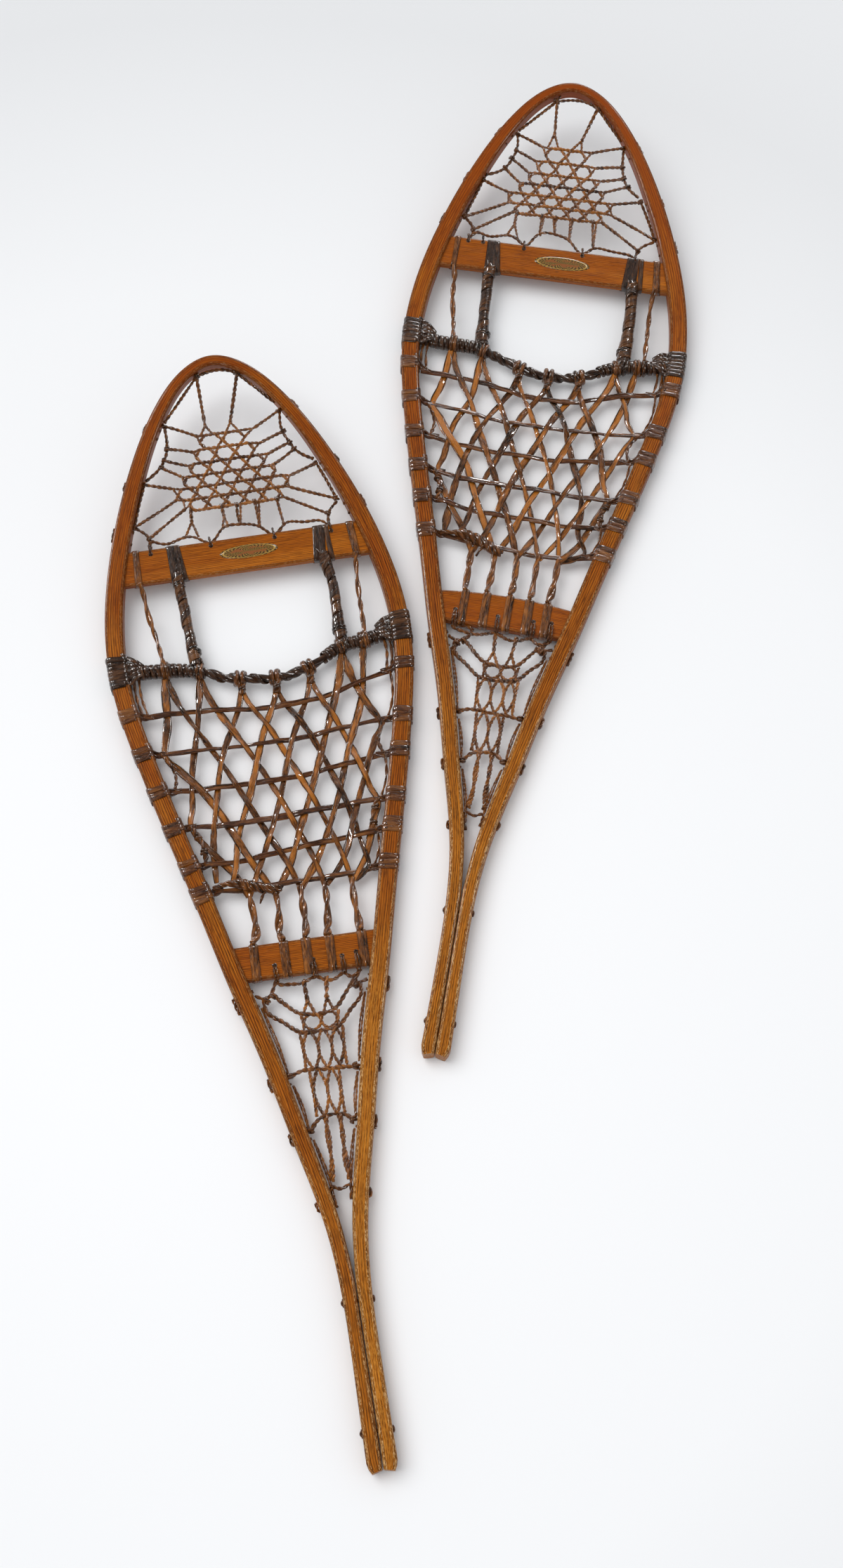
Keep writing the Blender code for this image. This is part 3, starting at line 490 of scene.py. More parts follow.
# ------------------------------------------------------------------ materials
def srgb(r, g, b):
    out = []
    for c in (r, g, b):
        c /= 255
        out.append(c / 12.92 if c <= 0.04045 else ((c + 0.055) / 1.055) ** 2.4)
    return (*out, 1.0)


class Nodes:
    """Short helpers for building a material's node tree."""

    def __init__(self, name):
        self.mat = bpy.data.materials.new(name)
        self.mat.use_nodes = True
        self.t = self.mat.node_tree
        self.shader = self.t.nodes["Principled BSDF"]

    def node(self, kind, **values):
        n = self.t.nodes.new(kind)
        for k, v in values.items():
            setattr(n, k, v)
        return n

    def link(self, a, b):
        self.t.links.new(a, b)

    def value(self, socket, x):
        if hasattr(x, "links") or isinstance(x, bpy.types.NodeSocket):
            self.link(x, socket)
        else:
            socket.default_value = x

    def attr(self, name, vector=False):
        n = self.node("ShaderNodeAttribute", attribute_name=name)
        return n.outputs["Vector"] if vector else n.outputs["Fac"]

    def math(self, op, a, b=0.0, c=None, clamp=False):
        n = self.node("ShaderNodeMath", operation=op, use_clamp=clamp)
        self.value(n.inputs[0], a)
        self.value(n.inputs[1], b)
        if c is not None:
            self.value(n.inputs[2], c)
        return n.outputs[0]

    def scaled(self, vector, scale):
        n = self.node("ShaderNodeVectorMath", operation="MULTIPLY")
        self.link(vector, n.inputs[0])
        n.inputs[1].default_value = scale
        return n.outputs[0]

    def split(self, vector):
        n = self.node("ShaderNodeSeparateXYZ")
        self.link(vector, n.inputs[0])
        return n.outputs

    def noise(self, vector, scale=1.0, detail=3.0, rough=0.5, distortion=0.0):
        n = self.node("ShaderNodeTexNoise")
        self.link(vector, n.inputs["Vector"])
        n.inputs["Scale"].default_value = scale
        n.inputs["Detail"].default_value = detail
        n.inputs["Roughness"].default_value = rough
        n.inputs["Distortion"].default_value = distortion
        return n.outputs["Fac"]

    def ramp(self, fac, stops, interpolation="LINEAR"):
        n = self.node("ShaderNodeValToRGB")
        n.color_ramp.interpolation = interpolation
        e = n.color_ramp.elements
        while len(e) < len(stops):
            e.new(0.5)
        for k, (pos, col) in enumerate(stops):
            e[k].position = pos
            e[k].color = col if not np.isscalar(col) else (col, col, col, 1)
        self.value(n.inputs["Fac"], fac)
        return n.outputs["Color"]

    def mix(self, fac, a, b, blend="MIX"):
        n = self.node("ShaderNodeMix", data_type="RGBA", blend_type=blend)
        self.value(n.inputs["Factor"], fac)
        for s, x in (("A", a), ("B", b)):
            sock = [i for i in n.inputs if i.name == s and i.type == "RGBA"][0]
            self.value(sock, x)
        return [o for o in n.outputs if o.type == "RGBA"][0]

    def bump(self, height, distance, strength=1.0, normal=None):
        n = self.node("ShaderNodeBump")
        n.inputs["Distance"].default_value = distance
        n.inputs["Strength"].default_value = strength
        self.link(height, n.inputs["Height"])
        if normal is not None:
            self.link(normal, n.inputs["Normal"])
        return n.outputs["Normal"]

    def out(self, **sockets):
        for name, x in sockets.items():
            self.value(self.shader.inputs[name.replace("_", " ")], x)
        return self.mat


def wood(name, light, mid, dark, red, ring_scale=400.0, worn=0.0, gloss=0.30, streak=1.0):
    """Varnished ash: growth lines, open pores, slow colour drift and crackled wear."""
    n = Nodes(name)
    g = n.attr("grain", True)
    tone = n.attr("tone")
    s, u, v = n.split(g)
    slow = n.noise(n.scaled(g, (5.0, 40.0, 40.0)), 1.0, 2.0)
    drift = n.noise(n.scaled(g, (3.0, 12.0, 12.0)), 1.0, 2.0)
    base = n.ramp(slow, [(0.28, mid), (0.52, mid), (0.75, light)])
    base = n.mix(n.math("MULTIPLY", n.math("SUBTRACT", drift, 0.42, clamp=True), 2.6, clamp=True), base, red)
    base = n.mix(n.math("MULTIPLY", n.math("MAXIMUM", tone, 0.0), 0.6, clamp=True), base, srgb(190, 118, 36))
    # growth lines: evenly spaced across the batten, wandering along it
    bend_ = n.noise(n.scaled(g, (4.0, 30.0, 30.0)), 1.0, 3.0)
    across = n.math("ADD", u, n.math("MULTIPLY", v, 0.45))
    line = n.math("FRACT", n.math("ADD", n.math("MULTIPLY", across, ring_scale), n.math("MULTIPLY", bend_, 2.6)))
    line = n.ramp(line, [(0.0, 1.0), (0.16, 0.72), (0.42, 0.0), (0.88, 0.0), (1.0, 0.9)])
    patchy = n.noise(n.scaled(g, (18.0, 420.0, 420.0)), 1.0, 3.0, 0.6)
    line = n.math("MULTIPLY", line, n.ramp(patchy, [(0.30, 0.35), (0.52, 1.0)]), clamp=True)
    col = n.mix(n.math("MULTIPLY", line, 0.92 * streak, clamp=True), base, dark)
    # fine fibre and pores
    fibre = n.noise(n.scaled(g, (22.0, 1400.0, 1400.0)), 1.0, 3.0, 0.6)
    col = n.mix(n.math("MULTIPLY", n.math("SUBTRACT", fibre, 0.47, clamp=True), 3.2 * streak, clamp=True), col, dark)
    col = n.mix(n.math("MULTIPLY", n.math("SUBTRACT", 0.46, fibre, clamp=True), 3.0, clamp=True), col, light)
    pore = n.noise(n.scaled(g, (65.0, 1500.0, 1500.0)), 1.0, 2.0)
    pores = n.ramp(pore, [(0.55, 0.0), (0.63, 1.0)])
    col = n.mix(n.math("MULTIPLY", pores, 0.62 * streak), col, srgb(50, 22, 6))
    # worn, crackled varnish where the tone is high
    crack = n.noise(n.scaled(g, (150.0, 1250.0, 1250.0)), 1.0, 3.0, 0.7)
    flake = n.ramp(crack, [(0.44, 0.0), (0.62, 1.0)])
    peeled = n.math("MULTIPLY", n.math("MAXIMUM", n.math("SUBTRACT", tone, 0.5), 0.0), 1.5)
    amount = n.math("MULTIPLY", n.math("ADD", peeled, worn), flake, clamp=True)
    col = n.mix(n.math("MULTIPLY", amount, 0.75), col, srgb(212, 142, 52))
    redder = n.math("MAXIMUM", n.math("MULTIPLY", tone, -1.0), 0.0)
    col = n.mix(n.math("MULTIPLY", redder, 0.8, clamp=True), col, red)
    # rounded corners (edge attribute): darkened as painted shade, and light flecks along them that are partly worn
    # varnish and partly painted highlight
    edge = n.attr("edge")
    flecks = n.noise(n.scaled(g, (260.0, 1100.0, 1100.0)), 1.0, 4.0, 0.75)
    aged = n.math("ADD", n.math("MULTIPLY", n.math("MAXIMUM", tone, 0.0), 0.9), 0.22, clamp=True)
    col = n.mix(n.math("MULTIPLY", n.math("MULTIPLY", edge, edge), 0.42), col, dark)
    rub_and_highlight = n.math("MULTIPLY", n.ramp(flecks, [(0.50, 0.0), (0.58, 1.0)]), n.math("MULTIPLY", edge, aged))
    col = n.mix(rub_and_highlight, col, srgb(206, 164, 108))
    # grime
    dirt = n.noise(n.scaled(g, (60.0, 260.0, 260.0)), 1.0, 4.0, 0.65)
    col = n.mix(n.ramp(dirt, [(0.58, 0.0), (0.80, 0.45)]), col, srgb(58, 32, 18))
    rough = n.ramp(n.noise(n.scaled(g, (30.0, 200.0, 200.0)), 1.0, 3.0), [(0.3, gloss + 0.04), (0.7, gloss + 0.22)])
    height = n.math("ADD", n.math("MULTIPLY", line, -0.5), n.math("MULTIPLY", fibre, 0.7))
    height = n.math("ADD", height, n.math("MULTIPLY", n.math("ADD", pores, flake), -0.25))
    wave = n.noise(n.scaled(g, (40.0, 160.0, 160.0)), 1.0, 2.0)
    nrm = n.bump(wave, 0.0006, 0.5)
    nrm = n.bump(height, 0.00016, 0.8, nrm)
    return n.out(Base_Color=col, Roughness=rough, Normal=nrm, Coat_Weight=0.22, Coat_Roughness=0.12,
                 Specular_IOR_Level=0.05)


def rawhide(name, dark, mid, amber, gloss=0.32, lean=0.0, spread=1.0):
    """Varnished rawhide: translucent amber on thin edges, dark where it is thick."""
    n = Nodes(name)
    g = n.attr("grain", True)
    tone = n.attr("tone")
    blot = n.noise(n.scaled(g, (70.0, 300.0, 300.0)), 1.0, 3.0, 0.6)
    fine = n.noise(n.scaled(g, (160.0, 1600.0, 1600.0)), 1.0, 3.0, 0.6)
    mixv = n.math("ADD", n.math("ADD", blot, n.math("MULTIPLY", tone, 0.5)), lean)
    col = n.ramp(mixv, [(0.5 - 0.18 * spread, dark), (0.50, mid), (0.5 + 0.22 * spread, amber)])
    col = n.mix(n.math("MULTIPLY", n.math("SUBTRACT", fine, 0.5, clamp=True), 1.8 / spread, clamp=True), col, dark)
    col = n.mix(n.math("MULTIPLY", n.math("SUBTRACT", 0.47, fine, clamp=True), 3.4, clamp=True), col, amber)
    scuff = n.noise(n.scaled(g, (220.0, 900.0, 900.0)), 1.0, 2.0, 0.7)
    col = n.mix(n.ramp(scuff, [(0.66, 0.0), (0.80, 0.35)]), col, srgb(176, 140, 96))
    rough = n.ramp(blot, [(0.3, gloss + 0.02), (0.7, gloss + 0.22)])
    lump = n.noise(n.scaled(g, (170.0, 520.0, 520.0)), 1.0, 3.0)
    nrm = n.bump(lump, 0.0014, 0.9)
    nrm = n.bump(fine, 0.00025, 0.8, nrm)
    return n.out(Base_Color=col, Roughness=rough, Normal=nrm, Coat_Weight=0.75, Coat_Roughness=0.07,
                 Specular_IOR_Level=0.22)


WOOD = dict(light=srgb(200, 124, 34), mid=srgb(160, 82, 12), dark=srgb(58, 22, 4), red=srgb(146, 64, 10))
M_BOW = {k: wood(f"ash_bow_{k}", **WOOD) for k in SHOES}
M_BAR = wood("ash_crossbar", srgb(196, 116, 32), srgb(168, 90, 16), srgb(70, 28, 6), srgb(144, 62, 10),
             ring_scale=520.0, gloss=0.27, streak=0.7)
M_DARK = rawhide("rawhide_dark", srgb(22, 12, 6), srgb(50, 27, 12), srgb(112, 68, 28), 0.24, spread=1.4)
M_WRAP = rawhide("rawhide_wrap", srgb(34, 18, 8), srgb(84, 43, 14), srgb(138, 84, 31), 0.26, spread=1.4)
M_NET = rawhide("rawhide_net", srgb(32, 17, 8), srgb(98, 53, 18), srgb(176, 108, 36), 0.20, spread=1.2)
M_FOOT = rawhide("rawhide_foot", srgb(30, 16, 7), srgb(98, 54, 17), srgb(174, 104, 31), 0.20, spread=1.25)

n = Nodes("rivet_copper")
co = n.node("ShaderNodeTexCoord").outputs["Object"]
pat = n.noise(co, 900.0, 3.0)
M_RIVET = n.out(Base_Color=n.ramp(pat, [(0.35, srgb(44, 28, 20)), (0.7, srgb(122, 78, 50))]), Metallic=0.9,
                Roughness=n.ramp(pat, [(0.3, 0.3), (0.8, 0.6)]), Normal=n.bump(pat, 0.0002, 0.6))


def transfer():
    """A printed oval ornament: gold ground, dark scroll-like mottling, no letters."""
    n = Nodes("oval_transfer")
    g = n.attr("grain", True)
    x, y, _ = n.split(g)
    r = n.math("POWER", n.math("ADD", n.math("POWER", x, 2.0), n.math("POWER", y, 2.0)), 0.5)
    ang = n.math("ARCTAN2", y, x)
    scroll = n.math("SINE", n.math("ADD", n.math("MULTIPLY", ang, 22.0), n.math("MULTIPLY", r, 40.0)))
    leaf = n.math("SINE", n.math("SUBTRACT", n.math("MULTIPLY", ang, 34.0), n.math("MULTIPLY", r, 26.0)))
    worn = n.noise(g, 7.0, 4.0, 0.7)
    pattern = n.math("ADD", n.math("MULTIPLY", n.math("ADD", scroll, leaf), 0.25), 0.5)
    ink = n.ramp(pattern, [(0.52, 0.0), (0.60, 1.0)])
    col = n.mix(ink, srgb(26, 18, 9), srgb(168, 128, 50))
    rim = n.ramp(r, [(0.84, 0.0), (0.87, 1.0), (0.90, 1.0), (0.92, 0.0)])
    col = n.mix(rim, col, srgb(186, 150, 70))
    plain = n.ramp(n.noise(g, 2.1, 2.0), [(0.50, 0.0), (0.54, 1.0)])
    col = n.mix(n.math("MULTIPLY", plain, n.math("LESS_THAN", r, 0.62)), col, srgb(140, 78, 26))
    faded = n.ramp(worn, [(0.54, 0.0), (0.64, 0.8)])
    col = n.mix(faded, col, srgb(146, 82, 30))
    return n.out(Base_Color=col, Roughness=0.3, Coat_Weight=0.3, Coat_Roughness=0.2)


M_OVAL = transfer()

# ------------------------------------------------------------------ what differs between the shoes
LACING = {
    "left": dict(
        apex=((-20, 1199), (26, 1197)),
        toe_rows=[(1122, 2, -3.5, 26.0), (1106, 3, -2.7, 22.4), (1091, 4, -2.5, 21.3), (1077.5, 5, -2.3, 21.0),
                  (1064, 6, -0.8, 21.0), (1050.5, 5, -0.5, 20.8)],
        toe_frame=dict(L=((1151, 1142), (1087, 1079), (1035, 1021)), R=((1157, 1147), (1086, 1078), (1034, 1022))),
        toe_left=[(-20, 1199), (-65, 1151), None, (-66, 1146), (-67, 1121), (-72, 1108), (-78, 1100), (-97, 1086), None,
                  (-100, 1080), (-109, 1058), (-117, 1035), None, (-117, 1033), (-103, 1018), (-104, 1003)],
        toe_right=[(26, 1197), (63, 1157), None, (67, 1147), (66, 1122), (72, 1108), (76, 1100), (95, 1085), None,
                   (98, 1078), (106, 1056), (113, 1034), None, (113, 1031), (101, 1018), (100, 1001)],
        toe_bottom=[(-104, 1003), (-102, 1014), (-90, 1010), (-68, 1013), (-52, 1012), (-36, 1003), (-20, 1018),
                    (0, 1020), (18, 1016), (28, 1008), (36, 1002), (50, 1013), (72, 1012), (92, 1010), (100, 1001)],
        bar_holes=((-104, 1001), (-36, 1001), (36, 1000), (100, 998)),
        toe_spokes=[((-20, 1197), (-20, 1141), "split", (-27, 1130), (-13, 1130)),
                    ((26, 1195), (9, 1141), "split", (2, 1130), (17, 1130)),
                    ((-66, 1147), (-31, 1130)), ((-67, 1120), (-38, 1112)), ((-72, 1107), (-46, 1097)),
                    ((-77, 1099), (-55, 1085)), ((-98, 1082), (-68, 1073)), ((-117, 1034), (-66, 1059)),
                    ((-103, 1018), (-58, 1047)), ((66, 1147), (33, 1130)), ((67, 1122), (38, 1112)),
                    ((72, 1108), (45, 1098)), ((76, 1100), (50, 1085)), ((96, 1079), (65, 1069)),
                    ((113, 1034), (62, 1056)), ((100, 1018), (54, 1045)),
                    ((-52, 1044), (-53, 1031), "split", (-63, 1013), (-48, 1012)),
                    ((-17, 1044), (-16, 1032), "split", (-20, 1018), (-13, 1019)),
                    ((0, 1043), (1, 1019)), ((21, 1044), (22, 1014)), ((46, 1043), (49, 1013))],
        master=((-150, 862), (-140, 861), (-100, 858), (-74, 853), (-60, 849), (-45, 841), (-25, 836), (0, 832),
                (25, 832), (50, 838), (70, 848), (88, 857), (110, 860), (130, 863), (150, 868)),
        master_r=((-160, 8.0), (-140, 7.6), (-100, 7.4), (-74, 6.6), (-50, 5.6), (0, 5.2), (50, 5.4), (80, 6.4),
                  (110, 6.8), (135, 7.6), (160, 9.0)),
        big_wraps=dict(L=(843, 882, 7), R=(850, 885, 7)),
        wraps=dict(L=((800, 818), (752, 769), (705, 721), (661, 677), (615, 632), (581, 601)),
                   R=((816, 830), (752, 769), (712, 729), (661, 677), (627, 644), (586, 602))),
        wefts=[((-137, 806), (-100, 806), (-60, 803), (-20, 798), (20, 797), (60, 800), (95, 809), (139, 820)),
               ((-130, 760), (-60, 757), (0, 755), (40, 756), (80, 760), (130, 763)),
               ((-118, 715), (-80, 712), (-40, 711), (10, 710), (60, 715), (118, 722)),
               ((-107, 672), (-60, 667), (-20, 667), (40, 669), (70, 670), (108, 671)),
               ((-96, 626), (-60, 624), (-40, 625), (0, 629), (50, 632), (100, 635)),
               ((-88, 596), (-60, 592), (0, 592), (60, 592), (90, 595))],
        hang=(-107, -70, -27, 11, 49, 88, 113),
        bars=dict(L=((-78, 962), (-77, 940), (-75, 900), (-72, 862)), R=((88, 962), (91, 940), (91, 900), (90, 862))),
        bar_r=(5.2, 5.6), bar_x=dict(L=-78, R=85),
        strands=dict(L=((-120, 964), (-117, 930), (-112, 900), (-107, 866)),
                     R=((122, 964), (120, 940), (118, 900), (117, 868))),
        strand_x=dict(L=-121.5, R=122.5),
        links=dict(L=("", "loop", "", "knot", ""), R=("wall", "loop", "wall", "knot", "wall")),
        rows_y=(778, 734, 689, 647, 610),
        shifted={(0, 0): (-81, 782), (0, 4): (66, 780), (0, 5): (102, 795), (1, 0): (-60, 740), (1, 4): (80, 739),
                 (2, 5): (91, 701), (3, 4): (71, 652)},
        rows_x=((-80, -44, -6, 30, 64, 100), (-58, -22, 12, 48, 79), (-72, -38, -3, 30, 62, 90), (-54, -20, 12, 44, 73),
                (-62, -37, -4, 24, 54, 78)),
        hangers=(((-50, 583), (-48, 560), (-50, 530)), ((-23, 583), (-22, 560), (-24, 530)),
                 ((4, 583), (4, 560), (3, 530)), ((30, 583), (29, 560), (26, 530)), ((59, 583), (58, 560), (59, 530))),
        bar_turns=(-54, -22, 1, 25, 59),
        tie=((-86, 597), (-70, 600), (-55, 597), (-42, 592), (-30, 588), (-16, 587)),
        rear_holes=((-34, 502), (6, 502), (36, 501), (51, 503)),
        tail_dx=0.0,
        tail_pairs=dict(L=((475, 459), (386, 374), (327, 316), (256, 248)), R=((474, 459), (390, 378), (333, 321), (262, 254))),
        oval=(5, 985, 33, 8),
    ),
}
LACING["right"] = dict(
    LACING["left"],
    apex=((-20, 1196), (32, 1193)),
    toe_rows=[(1127, 2, -1.5, 25.0), (1109, 3, -1.0, 22.0), (1094, 4, -2.0, 20.8), (1080, 5, -2.5, 20.5),
              (1066, 6, -3.0, 20.8), (1053, 5, -3.2, 21.2)],
    toe_frame=dict(L=((1155, 1144), (1092, 1080), (1035, 1022)), R=((1155, 1143), (1086, 1078), (1033, 1020))),
    toe_left=[(-20, 1196), (-62, 1154), None, (-63, 1148), (-62, 1130), (-66, 1118), (-73, 1105), (-97, 1092), None,
              (-99, 1084), (-107, 1060), (-115, 1036), None, (-115, 1033), (-103, 1018), (-107, 1004)],
    toe_right=[(32, 1193), (64, 1155), None, (68, 1147), (69, 1122), (72, 1108), (78, 1097), (92, 1086), None,
               (96, 1079), (107, 1056), (116, 1034), None, (116, 1030), (98, 1016), (96, 1002)],
    toe_bottom=[(-107, 1004), (-98, 1015), (-85, 1012), (-60, 1016), (-50, 1013), (-38, 1005), (-25, 1021), (0, 1024),
                (15, 1018), (32, 1003), (45, 1012), (60, 1012), (80, 1010), (92, 1007), (96, 1002)],
    bar_holes=((-107, 1003), (-89, 1003), (-39, 1001), (32, 1001), (96, 1000)),
    toe_spokes=[((-19, 1195), (-18, 1155), "split", (-25, 1135), (-11, 1135)),
                ((31, 1192), (16, 1150), "split", (3, 1135), (17, 1136)),
                ((-63, 1149), (-30, 1136)), ((-62, 1128), (-37, 1117)), ((-67, 1117), (-44, 1101)),
                ((-74, 1104), (-54, 1087)), ((-98, 1085), (-66, 1073)), ((-115, 1034), (-65, 1059)),
                ((-103, 1018), (-57, 1048)), ((68, 1147), (30, 1136)), ((69, 1122), (36, 1117)),
                ((72, 1108), (44, 1101)), ((78, 1098), (50, 1087)), ((95, 1080), (62, 1073)),
                ((116, 1033), (62, 1058)), ((98, 1016), (52, 1047)),
                ((-53, 1046), (-54, 1032), "split", (-62, 1015), (-48, 1013)),
                ((-22, 1046), (-22, 1021)), ((-5, 1046), (-4, 1024)), ((15, 1046), (14, 1018)),
                ((40, 1046), (44, 1012))],
    master=((-150, 866), (-135, 862), (-100, 860), (-78, 858), (-60, 852), (-40, 845), (-25, 838), (0, 833), (20, 832),
            (45, 835), (60, 842), (80, 852), (97, 857), (120, 859), (150, 866)),
    big_wraps=dict(L=(850, 886, 7), R=(846, 881, 7)),
    wraps=dict(L=((816, 834), (769, 785), (721, 739), (677, 695), (637, 655), (593, 611)),
               R=((819, 838), (759, 776), (721, 739), (667, 683), (629, 645), (589, 607))),
    wefts=[((-140, 818), (-100, 815), (-80, 814), (-40, 806), (0, 800), (40, 800), (80, 812), (138, 824)),
           ((-130, 775), (-80, 769), (-40, 763), (20, 761), (80, 762), (126, 766)),
           ((-118, 731), (-80, 723), (-20, 719), (20, 718), (60, 721), (118, 728)),
           ((-104, 685), (-70, 679), (-40, 677), (0, 677), (50, 674), (105, 674)),
           ((-96, 648), (-65, 640), (0, 636), (50, 633), (98, 636)),
           ((-88, 602), (-40, 596), (0, 592), (40, 590), (88, 597))],
    hang=(-107, -70, -25, 10, 46, 88, 112),
    bars=dict(L=((-77, 962), (-77, 940), (-76, 900), (-74, 864)), R=((96, 962), (97, 940), (97, 900), (95, 862))),
    bar_r=(6.2, 6.4), bar_x=dict(L=-76, R=94),
    strands=dict(L=((-119, 964), (-117, 930), (-112, 895), (-108, 868)),
                 R=((122, 964), (120, 920), (120, 895), (120, 868))),
    strand_x=dict(L=-120.5, R=123.0),
    hangers=(((-48, 585), (-48, 560), (-48, 530)), ((-22, 585), (-21, 560), (-23, 532)),
             ((4, 585), (5, 560), (4, 534)), ((28, 585), (27, 560), (26, 532)), ((51, 585), (50, 560), (47, 530))),
    bar_turns=(-47, -23, 3, 25, 46),
    tie=((-86, 603), (-70, 605), (-56, 604), (-44, 600), (-32, 594), (-14, 585)),
    rows_y=(785, 743, 699, 656, 614),
    shifted={(0, 5): (103, 806), (1, 0): (-61, 746), (1, 4): (80, 743), (2, 0): (-73, 704)},
    rows_x=((-77, -42, -8, 28, 61, 97), (-59, -25, 10, 44, 77), (-71, -40, -8, 27, 59, 89), (-53, -22, 8, 39, 69),
            (-62, -34, -6, 21, 48, 73)),
    rear_holes=((-55, 506), (-7, 504), (33, 503), (53, 504)),
    oval=(9, 984, 33.5, 8.5),
)


def foot_strands(lace):
    """Both diagonal families of the foot net, and how they turn round the cross strands' ends."""
    y = lace["rows_y"]
    A, B, C, D, E = lace["rows_x"]
    hang, hook = lace["hang"], [h[0] for h in lace["hangers"]]
    cord = [(x, float(np.interp(x, *zip(*lace["master"])))) for x in hang]
    start = []
    for x, cy in cord:
        start.append([(x, cy - (7 if abs(x) < 60 else 3)), (x, cy - (21 if abs(x) < 60 else 17))])
    p = [[(x, yy) for x in row] for row, yy in zip((A, B, C, D, E), y)]
    for (row, k), spot in lace["shifted"].items():
        p[row][k] = spot
    A, B, C, D, E = p

    def go(k, sign, *rest):
        (x0, y0), (x1, y1) = start[k]
        return [(x0, y0), (x1 + sign * 2.2, y1), *rest]

    low = [(h[0], h[1]) for h in hook]
    wl, wr = lace["wefts"], lace["wefts"]
    yl2, yr2, yl4, yr4 = wl[1][0][1], wr[1][-1][1], wl[3][0][1], wr[3][-1][1]
    e2, e4 = (wr[1][-1][0] - 130) / 2, wr[3][-1][0] - 108
    right = [
        go(0, 1, A[0], B[0], C[1], D[1], E[2], low[2]),
        go(1, 1, A[1], B[1], C[2], D[2], E[3], low[3]),
        go(2, 1, A[2], B[2], C[3], D[3], E[4], low[4]),
        go(3, 1, A[3], B[3], C[4], D[4], E[5], (79, y[4] - 13), (72, y[4] - 20), (low[4][0] + 3, low[4][1] + 1)),
        go(4, 1, A[4], B[4], C[5], (95 + e4, yr4 + 11)),
        go(5, 1, A[5], (111 + e2, yr2 + 11)),
        [(-112, yl2 - 14), (-93, (y[1] + y[2]) / 2 + 10), C[0], D[0], E[1], low[1]],
        [(-97, yl4 - 12), ((-97 + E[0][0]) / 2 - 1, (y[3] + y[4]) / 2 + 7), E[0], low[0]],
    ]
    left = [
        go(0, -1, (-113, yl2 + 30), (-117, yl2 + 13)),
        go(1, -1, (A[0][0] - 1, y[0]), (-90, y[1] + 12), (-96, yl4 + 30), (-98, yl4 + 12)),
        go(2, -1, A[1], B[0], C[0], (-80, y[3]), (-82, y[4] - 6)),
        go(3, -1, A[2], B[1], C[1], D[0], E[0], (-67, y[4] - 12)),
        go(4, -1, A[3], B[2], C[2], D[1], E[1], (low[0][0] + 1, low[0][1])),
        go(5, -1, A[4], B[3], C[3], D[2], E[2], (low[1][0] + 1, low[1][1])),
        go(6, -1, A[5], B[4], C[4], D[3], E[3], (low[2][0] + 1, low[2][1])),
        [(113 + e2, yr2 - 14), ((109 + C[5][0]) / 2, (745 + C[5][1]) / 2), C[5], D[4], E[4], (low[3][0] + 2, low[3][1])],
        [(97 + e4, yr4 - 12), (88 + e4, (y[3] + y[4]) / 2 + 8), E[5], (low[4][0] + 1, low[4][1])],
    ]
    turns = [
        ((1, 0), ((-119, yl2 + 5), (-120, yl2 - 2), (-117, yl2 - 8)), (0, 6)),
        ((1, 1), ((-101, yl4 + 5), (-103, yl4 - 1), (-101, yl4 - 7)), (0, 7)),
        ((0, 5), ((117 + e2, yr2 + 5), (119 + e2, yr2 - 1), (117 + e2, yr2 - 8)), (1, 7)),
        ((0, 4), ((99 + e4, yr4 + 5), (101 + e4, yr4 - 1), (100 + e4, yr4 - 7)), (1, 8)),
    ]
    return right, left, turns


NET_Z = 0.0140  # height of the fine nets and selvages
FOOT_Z = 0.0130


def corner_points(rows):
    """Strands of the toe net's hexagon-and-triangle lattice from rows of cells."""
    lines, tops = [], []
    ys = [r[0] for r in rows]
    edges = [ys[0] + (ys[0] - ys[1]) / 2]
    edges += [(a + b) / 2 for a, b in zip(ys, ys[1:])]
    edges += [ys[-1] - (ys[-2] - ys[-1]) / 2]
    seg = {}

    def key(p):
        return (round(p[0] / 2.6), round(p[1] / 2.6))

    pts = {}

    def put(p):
        for q in pts.values():
            if math.hypot(p[0] - q[0], p[1] - q[1]) < 3.4:
                return q
        pts[len(pts)] = p
        return p

    out = []
    for r, (cy, count, mid, pitch) in enumerate(rows):
        for k in range(count):
            cx = mid + (k - (count - 1) / 2) * pitch
            top, low = edges[r], edges[r + 1]
            c = [(cx - pitch / 4, top), (cx + pitch / 4, top), (cx + pitch / 2, cy), (cx + pitch / 4, low),
                 (cx - pitch / 4, low), (cx - pitch / 2, cy)]
            c = [put(p) for p in c]
            out += list(zip(c, c[1:] + c[:1]))
            if k:
                out.append((put((cx - 3 * pitch / 4, top)), c[0]))
                out.append((put((cx - 3 * pitch / 4, low)), c[4]))
    unique = {}
    for a, b in out:
        if a != b:
            unique[tuple(sorted((a, b)))] = (a, b)
    return list(unique.values())


def chained(edges, bend_limit=38):
    """Edges joined end to end into long strands wherever two run straight on."""
    ends = {}
    for i, (a, b) in enumerate(edges):
        ends.setdefault(a, []).append((i, b))
        ends.setdefault(b, []).append((i, a))
    nxt = {}
    for p, fan in ends.items():
        pairs = []
        for x in range(len(fan)):
            for y in range(x + 1, len(fan)):
                a, b = np.array(fan[x][1]) - p, np.array(fan[y][1]) - p
                c = -(a @ b) / (np.linalg.norm(a) * np.linalg.norm(b))
                pairs.append((math.degrees(math.acos(max(-1, min(1, c)))), fan[x][0], fan[y][0]))
        used = set()
        for ang, i, j in sorted(pairs):
            if ang < bend_limit and i not in used and j not in used:
                used |= {i, j}
                nxt[(i, p)], nxt[(j, p)] = j, i
    done, strands = set(), []
    for i, (a, b) in enumerate(edges):
        if i in done:
            continue
        line = [a, b]
        done.add(i)
        for grow_end in (True, False):
            cur, p = i, (line[-1] if grow_end else line[0])
            while (cur, p) in nxt and nxt[(cur, p)] not in done:
                cur = nxt[(cur, p)]
                done.add(cur)
                u, v = edges[cur]
                p = v if p == u else u
                line = line + [p] if grow_end else [p] + line
        strands.append(line)
    return strands


def direction(line):
    d = np.array(line[-1]) - np.array(line[0])
    a = math.degrees(math.atan2(d[1], d[0])) % 180
    return 0 if a < 28 or a > 152 else (1 if a < 90 else 2)


